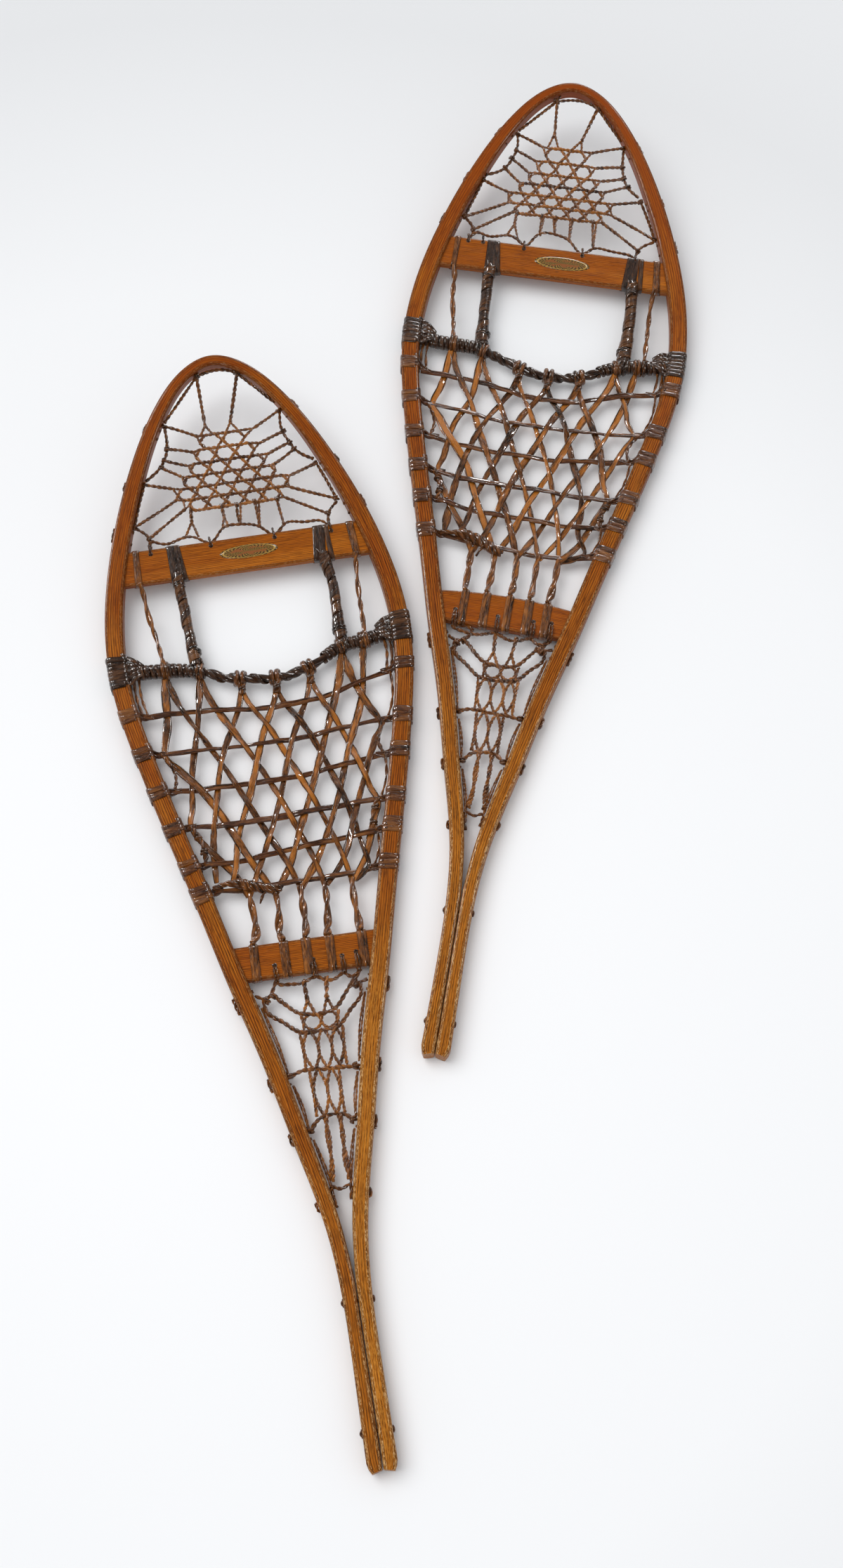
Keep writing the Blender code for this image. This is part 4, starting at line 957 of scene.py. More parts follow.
def fine_net(piece, strands, radius, z=NET_Z, tone=0.0, pitch=0.0085, lift=0.0010):
    """Twisted strands woven over and under each other in three directions."""
    kinds = [direction(l) for l in strands]
    lines = [resample(flat(l, z), 0.0011) for l in strands]

    def over(i, j):
        a, b = kinds[i], kinds[j]
        if a == b:
            return 1 if (i + j) % 2 else -1
        return 1 if (a - b) % 3 == 1 else -1

    for line in weave(lines, over, reach=0.0034, lift=lift):
        plied(piece, line, radius, pitch=pitch, smooth=False, step=0.0011, sides=6,
              tone=tone + RNG.normal() * 0.12)


def tie_on(piece, at, corners, count=2, radius=0.0016):
    """Short strands from the end of a spoke to the nearest corners of the net."""
    d = np.linalg.norm(corners - at, axis=1)
    used = []
    for k in np.argsort(d):
        q = corners[k]
        if all(np.linalg.norm(q - u) > 3 for u in used):
            used.append(q)
            if d[k] > 1.2:
                plied(piece, flat([at, (at + q) / 2, q], NET_Z + 0.0003), radius, pitch=0.009, tone=0.06, sides=6)
        if len(used) == count:
            break


def selvage(piece, points, z, radius, tone=0.0):
    """A selvage cord; None in the list is where it passes through the batten."""
    run = []
    for p in list(points) + [None]:
        if p is None:
            if len(run) > 1:
                plied(piece, flat(run, z), radius, pitch=0.012, tone=tone)
            run = []
        else:
            run.append(p)


def outside_loop(piece, side, ya, yb, z, radius, tone=0.0):
    """The short run of a selvage outside the batten between two holes, with its legs through to the inner side."""
    pts = []
    for k, y in enumerate((ya, yb)):
        s = s_at(side, y / 1000)
        p, inward, w = batten(s)
        hole_in = p[0] + inward[0] * (w[0] + 0.0015)
        mouth = p[0] - inward[0] * (radius * 0.75)
        leg = [(*hole_in, z), (*(p[0] + inward[0] * 0.004), z), (*mouth, z)]
        pts += leg if k == 0 else leg[::-1]
    plied(piece, pts, radius, pitch=0.015, tone=tone, smooth=False)


def hole_shade_disc(piece, x, y, r=0.0027):
    """The mouth of a lacing hole in a crossbar: a dark, slightly dished disc that is painted shade for the hole."""
    v, q, sides = [], [], 18
    for i, (rr, z) in enumerate(((1.0, -0.0002), (0.94, 0.00016), (0.6, 0.00020), (0.04, 0.00022))):
        for k in range(sides):
            a = math.tau * k / sides
            v.append((x + r * rr * math.cos(a), y + r * rr * math.sin(a), BAR_HIGH + z))
    for i in range(3):
        for k in range(sides):
            j = (k + 1) % sides
            q.append((i * sides + k, i * sides + j, (i + 1) * sides + j, (i + 1) * sides + k))
    v = np.array(v)
    # tone -3 gives the rawhide's darkest colour, the painted shade of the hole
    piece.add(v, np.array(q)[:, ::-1], [], v, tone=-3.0)


def lathe(profile, centre, axis_x=True, sides=28):
    """A turned piece about a line across the shoe: profile of (distance, radius)."""
    verts, quads = [], []
    for a, r in profile:
        for k in range(sides):
            t = math.tau * k / sides
            verts.append((a, centre[0] + r * math.cos(t), centre[1] + r * math.sin(t)))
    for i in range(len(profile) - 1):
        for k in range(sides):
            quads.append((i * sides + k, (i + 1) * sides + k, (i + 1) * sides + (k + 1) % sides, i * sides + (k + 1) % sides))
    return np.array(verts), np.array(quads)


# ------------------------------------------------------------------ one shoe
def build(name, spec, lace):
    body = f"{name}_snowshoe"
    N = lambda k: f"{name}_{k}"  # noqa: E731
    side_of = dict(L=-1, R=1)
    tag = lambda k: "outboard" if side_of[k] == spec["outboard"] else "inboard"  # noqa: E731

    # ---- batten
    f = np.linspace(-1, 1, 560)
    s = (np.sign(f) * (1 - (1 - np.abs(f)) ** 1.0) + 1) / 2 * EDGE
    p, inward, w = batten(s)
    n = len(s)
    trim = np.maximum(0, 0.007 - p[:, 1]) * 0.55
    w2 = w - trim + wobble(n, 14, 0.00016)[:, 0]
    centre = p + inward * (trim + (w - trim) / 2)[:, None]
    h = TOP - BOTTOM
    # section corners marked for the wood material's painted edge shade and painted highlight
    corner_edge = np.tile((1.0, 1.0, 1.0, 1.0, 1.0, 1.0, 0.0, 0.0, 0.0), 4)
    prof = np.zeros((n, 36, 2))
    crown = wobble(n, 10, 0.00012)[:, 0]
    for k in range(n):
        end = min(1.0, 0.35 + p[k, 1] / 0.004) if p[k, 1] < 0.004 else 1.0
        o, _ = rounded(w2[k], h * (0.9 + 0.1 * end), 0.0030, 5, 3, 0.0009)
        o = o.copy()
        o[:, 1] -= 0.00035 * (o[:, 0] / (w2[k] / 2)) ** 2 * np.sign(o[:, 1]) - crown[k] * (o[:, 1] > 0)
        prof[k] = o
    path = np.column_stack([centre, np.full(n, (TOP + BOTTOM) / 2)])
    along = np.array([[0, 0, 1.0]] * n)
    y = p[:, 1]
    tone = np.interp(y, (0, 0.25, 0.45, 0.6, 1.0, 1.12, 1.219), (0.75, 0.7, 0.45, 0.12, 0.0, -0.25, -0.5))
    if name == "left":
        tone = tone + np.where(p[:, 0] > 0, np.interp(y, (0.2, 0.45, 0.7), (0.2, 0.45, 0.0)), -0.15)
    else:
        tone = tone - np.interp(y, (0.6, 0.9, 1.1), (0.0, 0.35, 0.45))
    bow = Piece()
    bow.sweep(path, along, prof, tone=tone + wobble(n, 20, 0.06)[:, 0], seed=(1.0 + len(name), 0.3, 0.2), edge=corner_edge)
    bow.build(N("ash_bow"), spec, M_BOW[name], body, "ash_varnished", (N("bow"),), sharp=50)

    # ---- crossbars
    for part, bar, skew, arch, seed in (("front_crossbar", FRONT_BAR, spec["front_skew"], 0.0, 2.2),
                                        ("rear_crossbar", REAR_BAR, spec["rear_skew"], spec["rear_arch"], 3.7)):
        ym = sum(bar) / 2
        xl, xr = inner_at(-1, ym)[0][0] - 0.010, inner_at(1, ym)[0][0] + 0.010
        m = 90
        xs = np.linspace(xl, xr, m)
        prof = np.zeros((m, 32, 2))
        mid = np.zeros(m)
        for k, x in enumerate(xs):
            rise = arch * (1 - (x / 0.07) ** 2) if arch else 0
            rise = max(rise, -0.002)
            width = bar[1] - bar[0] + rise
            mid[k] = (bar[0] + bar[1] + rise) / 2 + skew * x
            o, _ = rounded(width, BAR_HIGH - BAR_LOW, 0.0026, 4, 3, 0.0008)
            prof[k] = o[:, ::1]
        path = np.column_stack([xs, mid, np.full(m, (BAR_HIGH + BAR_LOW) / 2)])
        piece = Piece()
        # bar section corners marked for the same painted edge shade and painted highlight
        piece.sweep(path, [[0, 0, 1.0]] * m, prof, tone=wobble(m, 14, 0.06)[:, 0] - (0.1 if name == "right" else 0),
                    seed=(seed + len(name), 0.5, 0.1), edge=np.tile((1.0, 1.0, 1.0, 1.0, 1.0, 0.0, 0.0, 0.0), 4))
        piece.build(N("ash_" + part), spec, M_BAR, body, "ash_varnished", (N(part),), sharp=50)

    # ---- tail rivets and burrs
    for which, yr in zip(("rear", "front"), RIVET_Y):
        a = edge_at(s_at(1, yr))[0][0]
        b = -a
        for part, profile in (
            ("tail_rivet_" + which, [(b - 0.0026, 0.0), (b - 0.0024, 0.0012), (b - 0.0018, 0.0024), (b - 0.0010, 0.0029),
                                     (b - 0.0004, 0.0026), (b + 0.001, 0.0016), (a - 0.001, 0.0016), (a + 0.0004, 0.0036),
                                     (a + 0.0010, 0.0034), (a + 0.0016, 0.0026), (a + 0.0020, 0.0013), (a + 0.0021, 0.0)]),
            ("tail_burr_" + which, [(b - 0.0004, 0.0019), (b - 0.0009, 0.0021), (b - 0.0010, 0.0040), (b - 0.0006, 0.0043),
                                    (b - 0.0001, 0.0043), (b + 0.0001, 0.0019), (b - 0.0004, 0.0019)]),
        ):
            v, q = lathe(profile, (yr, 0.0124))
            piece = Piece()
            piece.add(v, q, [], v * 1.0)
            piece.build(N("copper_" + part), spec, M_RIVET, body, "rivet_copper", (N(part),), sharp=40)

    # ---- oval transfer
    ox, oy, ow, oh = (k / 1000 for k in lace["oval"])
    piece = Piece()
    rings, sides = 7, 64
    verts, grain, quads = [], [], []
    top = BAR_HIGH + 0.00022
    for i in range(rings + 1):
        for k in range(sides):
            t = math.tau * k / sides
            r = max(i / rings, 0.02)
            x, yy = ox + ow * r * math.cos(t), oy + oh * r * math.sin(t)
            verts.append((x, yy + spec["front_skew"] * x, top + (0.00008 if i < rings else -0.0002)))
            grain.append((r * math.cos(t), r * math.sin(t), 0))
    for i in range(rings):
        for k in range(sides):
            quads.append((i * sides + k, (i + 1) * sides + k, (i + 1) * sides + (k + 1) % sides, i * sides + (k + 1) % sides))
    base = len(verts)
    verts += [(x, yy, top - 0.0003) for x, yy, _ in verts[-sides:]]
    grain += grain[-sides:]
    for k in range(sides):
        quads.append((rings * sides + k, base + k, base + (k + 1) % sides, rings * sides + (k + 1) % sides))
    piece.add(np.array(verts), np.array(quads), [list(range(sides))[::-1], list(range(base, base + sides))[::-1]], np.array(grain))
    piece.n = [list(range(sides)), list(range(base, base + sides))[::-1]]
    piece.build(N("oval_print"), spec, M_OVAL, body, "oval_transfer", (N("oval_transfer"),))

    # ---- toe net
    net = Piece()
    strands = chained(corner_points(lace["toe_rows"]))
    spokes, splits = [], []
    for sp in lace["toe_spokes"]:
        if "split" in sp:
            i = sp.index("split")
            splits.append((sp[:i], sp[i + 1 :]))
        else:
            spokes.append(list(sp))
    corners = np.array([q for line in strands for q in line])
    fine_net(net, strands, 0.0021, tone=0.12, pitch=0.0105, lift=0.0013)
    for sp in spokes:
        a, b = np.array(sp[0], float), np.array(sp[-1], float)
        plied(net, flat([a, (a + b) / 2 + RNG.normal(size=2) * 0.4, b], NET_Z), 0.0021, pitch=0.012, tone=-0.06)
        cord_ring(net, (*(a / 1000), NET_Z), (*np.array([-(b - a)[1], (b - a)[0]]), 0.0), 0.0024, 0.0013, 1.5, tone=-0.2)
        tie_on(net, b, corners, 2 if b[1] > 1048 or abs(b[0]) > 50 else 1)
    for trunk, (l, r) in splits:
        plied(net, flat(trunk, NET_Z), 0.0023, pitch=0.013, tone=-0.06)
        for q in (l, r):
            plied(net, flat([trunk[-1], q], NET_Z), 0.0017, pitch=0.009, tone=0.05)
            if abs(q[1] - 1015) > 12:
                tie_on(net, np.array(q, float), corners, 1)
        a = np.array(trunk[0], float)
        cord_ring(net, (*(a / 1000), NET_Z), (1, 0, 0), 0.0023, 0.0012, 1.5, tone=-0.2)
    net.build(N("rawhide_toe_net"), spec, M_NET, body, "rawhide_net", (N("toe_net"),))

    # ---- toe selvage
    sel = Piece()
    for key in ("toe_left", "toe_right"):
        selvage(sel, lace[key], NET_Z - 0.0006, 0.0020, tone=-0.12)
    selvage(sel, lace["toe_bottom"], NET_Z - 0.0002, 0.0020, tone=-0.08)
    (ax, ay), (bx, by) = lace["apex"]
    selvage(sel, [(ax, ay), ((ax * 2 + bx) / 3, ay + 3.5), ((ax + 2 * bx) / 3, ay + 3.5), (bx, by)], NET_Z, 0.0019, -0.15)
    for x, yy in lace["apex"]:
        cord_ring(sel, (x / 1000, yy / 1000, NET_Z), (1, 0.3, 0), 0.0026, 0.0015, 2.0, tone=-0.3)
        s0 = x / 1000
        plied(sel, [(s0, yy / 1000, NET_Z), (s0 * 0.8, yy / 1000 + 0.007, NET_Z), (s0 * 0.7, yy / 1000 + 0.014, NET_Z)],
              0.0015, tone=-0.3, smooth=False)
    for k, side in side_of.items():
        for ya, yb in lace["toe_frame"][k]:
            outside_loop(sel, side, ya, yb, NET_Z - 0.001, 0.0019, tone=-0.1)
    for x, yy in lace["bar_holes"]:
        hx, hy = x / 1000, yy / 1000 - 0.001
        edge = FRONT_BAR[1] + spec["front_skew"] * hx
        hole_shade_disc(sel, hx, hy - 0.0022)
        plied(sel, [(hx - 0.0006, edge + 0.006, NET_Z), (hx - 0.0004, edge + 0.0012, BAR_HIGH + 0.0012),
                    (hx, hy, BAR_HIGH + 0.0008), (hx, hy - 0.001, BAR_HIGH - 0.002)], 0.0016, tone=-0.3)
    sel.build(N("rawhide_toe_selvage"), spec, M_NET, body, "rawhide_net", (N("toe_selvage"),))

    # ---- master cord
    cord = Piece()
    pts = lace["master"]
    path = resample([(x / 1000, yy / 1000, 0.0132) for x, yy in pts], 0.0015)
    m = len(path)
    rad = np.interp(path[:, 0] * 1000, *zip(*lace["master_r"])) / 1000
    nor, tan = transport(path)
    bi = np.cross(tan, nor)
    arc = np.arange(m) * 0.0015
    tw = math.tau * arc / 0.046 + wobble(m, 20, 0.6)[:, 0]
    for k in range(2):
        a = tw + math.tau * k / 2
        r = rad * 0.63 * (1 + wobble(m, 7, 0.07)[:, 0])
        off = rad * 0.40
        c = path + nor * (np.cos(a) * off)[:, None] + bi * (np.sin(a) * off)[:, None]
        out = nor * np.cos(a)[:, None] + bi * np.sin(a)[:, None]
        cord.sweep(c, out, circle(1.0, 12)[None] * r[:, None, None], tone=-0.15 + RNG.normal() * 0.08)
    # strip wound round the outer stretches of the cord
    for x0, x1, pitch in ((-0.150, -0.066, 0.0062), (0.066, 0.150, 0.0064), (-0.050, 0.055, 0.024)):
        i0, i1 = np.searchsorted(path[:, 0], (x0, x1))
        length = (i1 - i0) * 0.0015
        turns = length / pitch
        q = np.linspace(0, 1, max(12, int(turns * 26)))
        idx = i0 + q * (i1 - 1 - i0)
        P = np.stack([np.interp(idx, np.arange(m), path[:, d]) for d in range(3)], 1)
        Nn = np.stack([np.interp(idx, np.arange(m), nor[:, d]) for d in range(3)], 1)
        B = np.stack([np.interp(idx, np.arange(m), bi[:, d]) for d in range(3)], 1)
        R = np.interp(idx, np.arange(m), rad) + 0.0001
        ang = q * turns * math.tau + wobble(len(q), 22, 0.25)[:, 0]
        d = Nn * np.cos(ang)[:, None] + B * np.sin(ang)[:, None]
        strip(cord, P + d * R[:, None], d, 0.0052 if pitch < 0.01 else 0.0042, 0.0017, tone=-0.05, ragged=0.12)
    for k, side in side_of.items():
        y0, y1, turns = lace["big_wraps"][k]
        batten_wrap(cord, side, y0 / 1000, y1 / 1000, turns, 0.0021, tone=0.0)
        # the strands fanning from the cord's end onto the wrap
        end = path[0] if side < 0 else path[-1]
        for j in range(5):
            yy = (y0 + (y1 - y0) * (0.12 + 0.19 * j)) / 1000
            q, outd = inner_at(side, yy)
            start = end + np.array([-side * 0.020, (j - 2) * 0.0022, 0.0035])
            goal = np.array([q[0] + side * 0.0035, yy, TOP + 0.0008])
            midp = (start + goal) / 2 + np.array([0, (j - 2) * 0.0009, 0.0022])
            pth = resample([start, midp, np.array([q[0] - side * 0.002, yy, TOP - 0.003]), goal], 0.0012)
            strip(cord, pth, np.tile((0, 0, 1.0), (len(pth), 1)), 0.0052, 0.0019, tone=-0.02)
    cord.build(N("rawhide_master_cord"), spec, M_DARK, body, "rawhide_dark", (N("master_cord"),))

    # ---- toe-hole bars and side strands
    for k, side in side_of.items():
        piece = Piece()
        line = lace["bars"][k]
        r0 = lace["bar_r"][0 if side < 0 else 1] / 1000
        x_bar = lace["bar_x"][k] / 1000
        pts3 = [(x_bar, 0.972, BAR_HIGH + 0.001), (line[0][0] / 1000, 0.958, 0.0165)]
        pts3 += [(x / 1000, yy / 1000, 0.0138) for x, yy in line[1:-1]]
        pts3 += [(line[-1][0] / 1000, line[-1][1] / 1000 - 0.004, 0.0155)]
        path = resample(pts3, 0.0014)
        m = len(path)
        nor, tan = transport(path)
        bi = np.cross(tan, nor)
        q = np.linspace(0, 1, m)
        rad = r0 * np.interp(q, (0, 0.06, 0.16, 0.62, 0.78, 1.0), (0.7, 1.05, 0.98, 1.0, 1.2, 1.35)) * (1 + wobble(m, 9, 0.06)[:, 0])
        piece.sweep(path, nor, circle(1.0, 16)[None] * (rad - 0.0009)[:, None, None], tone=-0.1)
        length = m * 0.0014
        for pitch, w0, ph in ((0.0150, 0.0125, 0.0), (0.034, 0.0060, 2.0)):
            turns = length / pitch
            qq = np.linspace(0, 1, int(turns * 26))
            idx = qq * (m - 1)
            P = np.stack([np.interp(idx, np.arange(m), path[:, d]) for d in range(3)], 1)
            Nn = np.stack([np.interp(idx, np.arange(m), nor[:, d]) for d in range(3)], 1)
            B = np.stack([np.interp(idx, np.arange(m), bi[:, d]) for d in range(3)], 1)
            R = np.interp(idx, np.arange(m), rad) - 0.0003
            ang = qq * turns * math.tau + ph + wobble(len(qq), 25, 0.3)[:, 0]
            d = Nn * np.cos(ang)[:, None] + B * np.sin(ang)[:, None]
            strip(piece, P + d * (R[:, None] + (0.0006 if pitch > 0.02 else 0)), d, w0, 0.0013, tone=0.10 + wobble(len(qq), 26, 0.2)[:, 0], ragged=0.10, m=12)
        bands = ((-0.0022, 0.0115, 0.0, -0.18), (0.0048, 0.0085, -0.004, -0.08)) if side < 0 else (
            (-0.0040, 0.0100, 0.005, -0.20), (0.0020, 0.0070, 0.003, -0.05), (0.0100, 0.0056, -0.001, 0.12))
        for dx, wide, lean, tn in bands:
            bar_loop(piece, x_bar + dx, FRONT_BAR, spec["front_skew"], 0, wide, 1, 0.0015, tone=tn, lean=lean, spread=0.25)
        # knot where the bar meets the crossbar's rear edge, and ties onto the master cord
        cord_ring(piece, (line[0][0] / 1000, 0.9575, 0.0160), (0, 1, 0), r0 * 1.02, 0.0017, 2.2, pitch=0.0028, tone=-0.25)
        cord_ring(piece, (line[-1][0] / 1000, line[-1][1] / 1000 + 0.014, 0.0142), (0, 1, 0), r0 * 1.18, 0.0019, 2.0, pitch=0.0034, tone=-0.3)
        cy = np.interp(line[-1][0], *zip(*lace["master"])) / 1000
        for dx in (-0.0042, 0.0, 0.0044):
            rr = np.interp(line[-1][0], *zip(*lace["master_r"])) / 1000
            cord_ring(piece, (line[-1][0] / 1000 + dx, cy, 0.0132), (1, 0.25 * -side, 0), rr + 0.0012, 0.0021, 1.1, pitch=0.001, tone=-0.3)
        piece.build(N("rawhide_toe_bar_" + tag(k)), spec, M_DARK, body, "rawhide_dark", (N("toe_bar_" + tag(k)),))

        piece = Piece()
        line = lace["strands"][k]
        xs = lace["strand_x"][k] / 1000
        plied(piece, [(xs, 0.9655, BAR_HIGH + 0.0006), (line[0][0] / 1000, 0.960, 0.0165)]
              + [(x / 1000, yy / 1000, 0.0140) for x, yy in line[1:-1]]
              + [(line[-1][0] / 1000, line[-1][1] / 1000 - 0.004, 0.0200)], 0.0031, pitch=0.046, tone=0.02, ratio=0.60)
        bar_loop(piece, xs, FRONT_BAR, spec["front_skew"], 0, 0.0086, 1, 0.0015, tone=-0.05, lean=-0.002 * side, spread=0.3)
        cy = np.interp(line[-1][0], *zip(*lace["master"])) / 1000
        rr = np.interp(line[-1][0], *zip(*lace["master_r"])) / 1000
        cord_ring(piece, (line[-1][0] / 1000, cy, 0.0132), (1, 0, 0), rr + 0.0012, 0.0019, 1.6, pitch=0.0040, tone=-0.2)
        piece.build(N("rawhide_side_strand_" + tag(k)), spec, M_FOOT, body, "rawhide_net", (N("side_strand_" + tag(k)),))

    # ---- foot net: cross strands and diagonals woven together
    fam_r, fam_l, turns = foot_strands(lace)
    fam_r = [np.array(l) / 1000 for l in fam_r]
    fam_l = [np.array(l) / 1000 for l in fam_l]
    wefts = [np.array([(x / 1000, yy / 1000) for x, yy in l]) for l in lace["wefts"]]
    lines, kinds = [], []
    for kind, fam in enumerate((fam_r, fam_l, wefts)):
        for j, l in enumerate(fam):
            z = FOOT_Z if kind < 2 else FOOT_Z + 0.0006
            pts3 = [(*q, z) for q in l]
            lines.append(resample(pts3, 0.0018))
            kinds.append((kind, j))

    def over(i, j):
        (a, p_), (b, q_) = kinds[i], kinds[j]
        if a == b:
            return 1 if (p_ + q_) % 2 else -1
        if {a, b} == {0, 1}:
            sign = 1 if (p_ + q_) % 2 else -1
            return sign if a == 0 else -sign
        k, o = (p_, q_) if a == 2 else (q_, p_)
        sign = 1 if (k + o + (b if a == 2 else a)) % 2 else -1
        return sign if a == 2 else -sign

    lines = weave(lines, over, reach=0.0075, lift=0.0013)
    foot = Piece()
    rows = [Piece() for _ in wefts]
    woven = {}
    for line, (kind, j) in zip(lines, kinds):
        woven[(kind, j)] = line
    for first, points, second in turns:
        mid = np.array([(x / 1000, yy / 1000, FOOT_Z + 0.0008) for x, yy in points])
        whole = np.vstack([woven.pop(first)[:-1], mid, woven.pop(second)[1:]])
        knots = np.vstack([whole[::4], whole[-1:]])
        woven[first] = resample(knots, 0.0018)
    for (kind, j), line in sorted(woven.items()):
        m = len(line)
        up = np.tile((0, 0, 1.0), (m, 1))
        tan = np.gradient(line, axis=0)
        tan /= np.linalg.norm(tan, axis=1)[:, None]
        curve = np.linalg.norm(np.gradient(tan, axis=0), axis=1) / 0.0018
        curve = np.convolve(np.pad(curve, 4, mode="edge"), np.ones(9) / 9, mode="valid")
        side_v = np.cross(tan, up)
        side_v /= np.linalg.norm(side_v, axis=1)[:, None] + 1e-9
        roll = wobble(m, 16, 0.22)[:, 0]
        nv = up * np.cos(roll)[:, None] + side_v * np.sin(roll)[:, None]
        if kind < 2:
            wide = (0.0080 if kind == 0 else 0.0088) + 0.0006 * RNG.normal() + wobble(m, 18, 0.0010)[:, 0]
            wide = np.clip(wide, 0.0056, 0.0108) / (1 + np.minimum(curve, 120) * 0.012)
            q = np.linspace(0, 1, m)
            wide = wide * np.interp(q, (0, 0.05, 0.95, 1), (0.6, 1, 1, 0.7))
            base = (0.04 if kind == 0 else 0.14) + RNG.normal() * 0.16
            strip(foot, line, nv, wide, 0.0018, tone=base + wobble(m, 14, 0.2)[:, 0], m=12)
            # the folded edges of the strip
            for sg in (-1, 1):
                edge = line + side_v * (wide * 0.40 * sg)[:, None] + nv * 0.0006
                strip(foot, edge, nv, wide * 0.17, 0.0013, tone=-0.30 + wobble(m, 14, 0.12)[:, 0], m=6)
        else:
            wide = 0.0060 + 0.0003 * RNG.normal() + wobble(m, 20, 0.0006)[:, 0]
            strip(rows[j], line, nv, wide, 0.0024, tone=0.05 + wobble(m, 16, 0.2)[:, 0], m=12)
            edge = line + side_v * (wide * 0.26)[:, None] * (1 if j % 2 else -1) + up * 0.0009
            strip(rows[j], edge, nv, wide * 0.36, 0.0015, tone=-0.25, m=8)
    # loops of the diagonals over the master cord
    for x in lace["hang"]:
        cy = np.interp(x, *zip(*lace["master"])) / 1000
        rr = np.interp(x, *zip(*lace["master_r"])) / 1000
        slope = (np.interp(x + 4, *zip(*lace["master"])) - np.interp(x - 4, *zip(*lace["master"]))) / 8
        inner = abs(x) < 60
        for dx in (-0.0034, 0.0034) if inner else (-0.0018, 0.0022):
            cord_ring(foot, (x / 1000 + dx, cy + slope * dx, 0.0132), (1, slope, 0), rr + 0.0012, 0.0029 if inner else 0.0023, 1.15,
                      pitch=0.0012, tone=-0.2, sides=10)
        if inner:
            plied(foot, [(x / 1000 - 0.003, cy - rr + 0.001, 0.0165), (x / 1000 - 0.0008, cy - rr - 0.006, 0.0150),
                         (x / 1000 - 0.002, cy - rr - 0.014, 0.0135)], 0.0031, pitch=0.03, tone=-0.2)
            plied(foot, [(x / 1000 + 0.004, cy - rr + 0.001, 0.0165), (x / 1000 + 0.0018, cy - rr - 0.006, 0.0155),
                         (x / 1000 + 0.002, cy - rr - 0.014, 0.0135)], 0.0031, pitch=0.03, tone=-0.05)
            cord_ring(foot, (x / 1000 + 0.0006, cy - rr - 0.0075, 0.0148), (0, 1, 0), 0.0030, 0.0016, 1.6, tone=-0.3)
    # short strands that link the ends of the cross strands beside the frame
    for k, side in side_of.items():
        ends = [w[0] if side < 0 else w[-1] for w in lace["wefts"]]
        top_cord = lace["master"][0] if side < 0 else lace["master"][-1]

        def off(yy, gap):
            return inner_at(side, yy)[0][0] - side * gap

        y0, y1 = top_cord[1] / 1000 - 0.006, ends[0][1] / 1000 + 0.002
        ym = (y0 + y1) / 2
        for gap in (0.0030, 0.0085):
            plied(foot, [(off(y0, gap + 0.002), y0, FOOT_Z), (off(ym, gap), ym, FOOT_Z), (off(y1, gap + 0.001), y1, FOOT_Z + 0.001)],
                  0.0018, pitch=0.03, tone=-0.05)
        for j, style in enumerate(lace["links"][k]):
            y0, y1 = ends[j][1] / 1000, ends[j + 1][1] / 1000
            ym = (y0 + y1) / 2
            if style == "wall":
                pts3 = [(off(y0, 0.006), y0, FOOT_Z + 0.001), (off(ym, 0.0022), ym, FOOT_Z), (off(y1, 0.006), y1, FOOT_Z + 0.001)]
                plied(foot, pts3, 0.0017, pitch=0.03, tone=-0.1)
            elif style:
                gap = 0.014 if style == "loop" else 0.012
                pts3 = [(off(y0, 0.008), y0, FOOT_Z + 0.001), (off(ym + 0.006, gap), ym + 0.006, FOOT_Z),
                        (off(ym - 0.006, gap), ym - 0.006, FOOT_Z), (off(y1, 0.007), y1, FOOT_Z + 0.001)]
                plied(foot, pts3, 0.0022 if style == "loop" else 0.0030, pitch=0.018, tone=-0.15)
                if style == "knot":
                    for f in (-0.008, 0.009):
                        cord_ring(foot, (off(ym + f, gap - 0.001), ym + f, FOOT_Z), (0.2, 1, 0), 0.0028, 0.0018, 1.7, tone=-0.3)
    # hangers to the rear crossbar, then flat over it
    for (a, b, c), xt in zip(lace["hangers"], lace["bar_turns"]):
        rear_hi = 1000 * (REAR_BAR[1] + spec["rear_skew"] * xt / 1000 + spec["rear_arch"] * (1 - (xt / 70) ** 2))
        plied(foot, [(a[0] / 1000, a[1] / 1000 + 0.004, FOOT_Z), (b[0] / 1000, b[1] / 1000, FOOT_Z + 0.0005),
                     (c[0] / 1000, c[1] / 1000 + 0.006, FOOT_Z + 0.001), (xt / 1000, rear_hi / 1000 + 0.001, BAR_HIGH)],
              0.0041, pitch=0.052, tone=0.04, ratio=0.60, sides=10, taper=((0, 0.85), (0.35, 0.95), (0.75, 1.1), (1, 1.1)))
        bar_loop(foot, xt / 1000 - 0.0020, REAR_BAR, spec["rear_skew"], spec["rear_arch"], 0.0054, 1, 0.0016, tone=0.05, lean=0.001, spread=0.2)
        bar_loop(foot, xt / 1000 + 0.0026, REAR_BAR, spec["rear_skew"], spec["rear_arch"], 0.0046, 1, 0.0018, tone=-0.15, lean=0.001, spread=0.2)
    # the thick tie-off on the last cross strand
    tie = [(x / 1000, yy / 1000, FOOT_Z + 0.0035) for x, yy in lace["tie"]]
    plied(foot, tie, 0.0058, pitch=0.026, plies=3, tone=-0.2, sides=10, ratio=0.52,
          taper=((0, 0.42), (0.2, 0.5), (0.35, 0.95), (0.75, 1.1), (1, 0.7)))
    tx, ty = tie[-2][0], tie[-2][1]
    for dx, dy in ((-0.010, -0.014), (0.006, -0.008)):
        plied(foot, [(tx, ty, FOOT_Z + 0.004), (tx + dx * 0.5, ty + dy * 0.4, FOOT_Z + 0.004), (tx + dx, ty + dy, FOOT_Z)],
              0.0026, pitch=0.02, tone=-0.3, taper=((0, 1), (1, 0.5)))
    foot.build(N("rawhide_foot_net"), spec, M_FOOT, body, "rawhide_net", (N("foot_net"),))

    for j, piece in enumerate(rows):
        for k, side in side_of.items():
            y0, y1 = lace["wraps"][k][j]
            turns = max(3, round((y1 - y0) / 5.2))
            batten_wrap(piece, side, y0 / 1000, y1 / 1000, turns, 0.0017, tone=0.05, tilt=0.6)
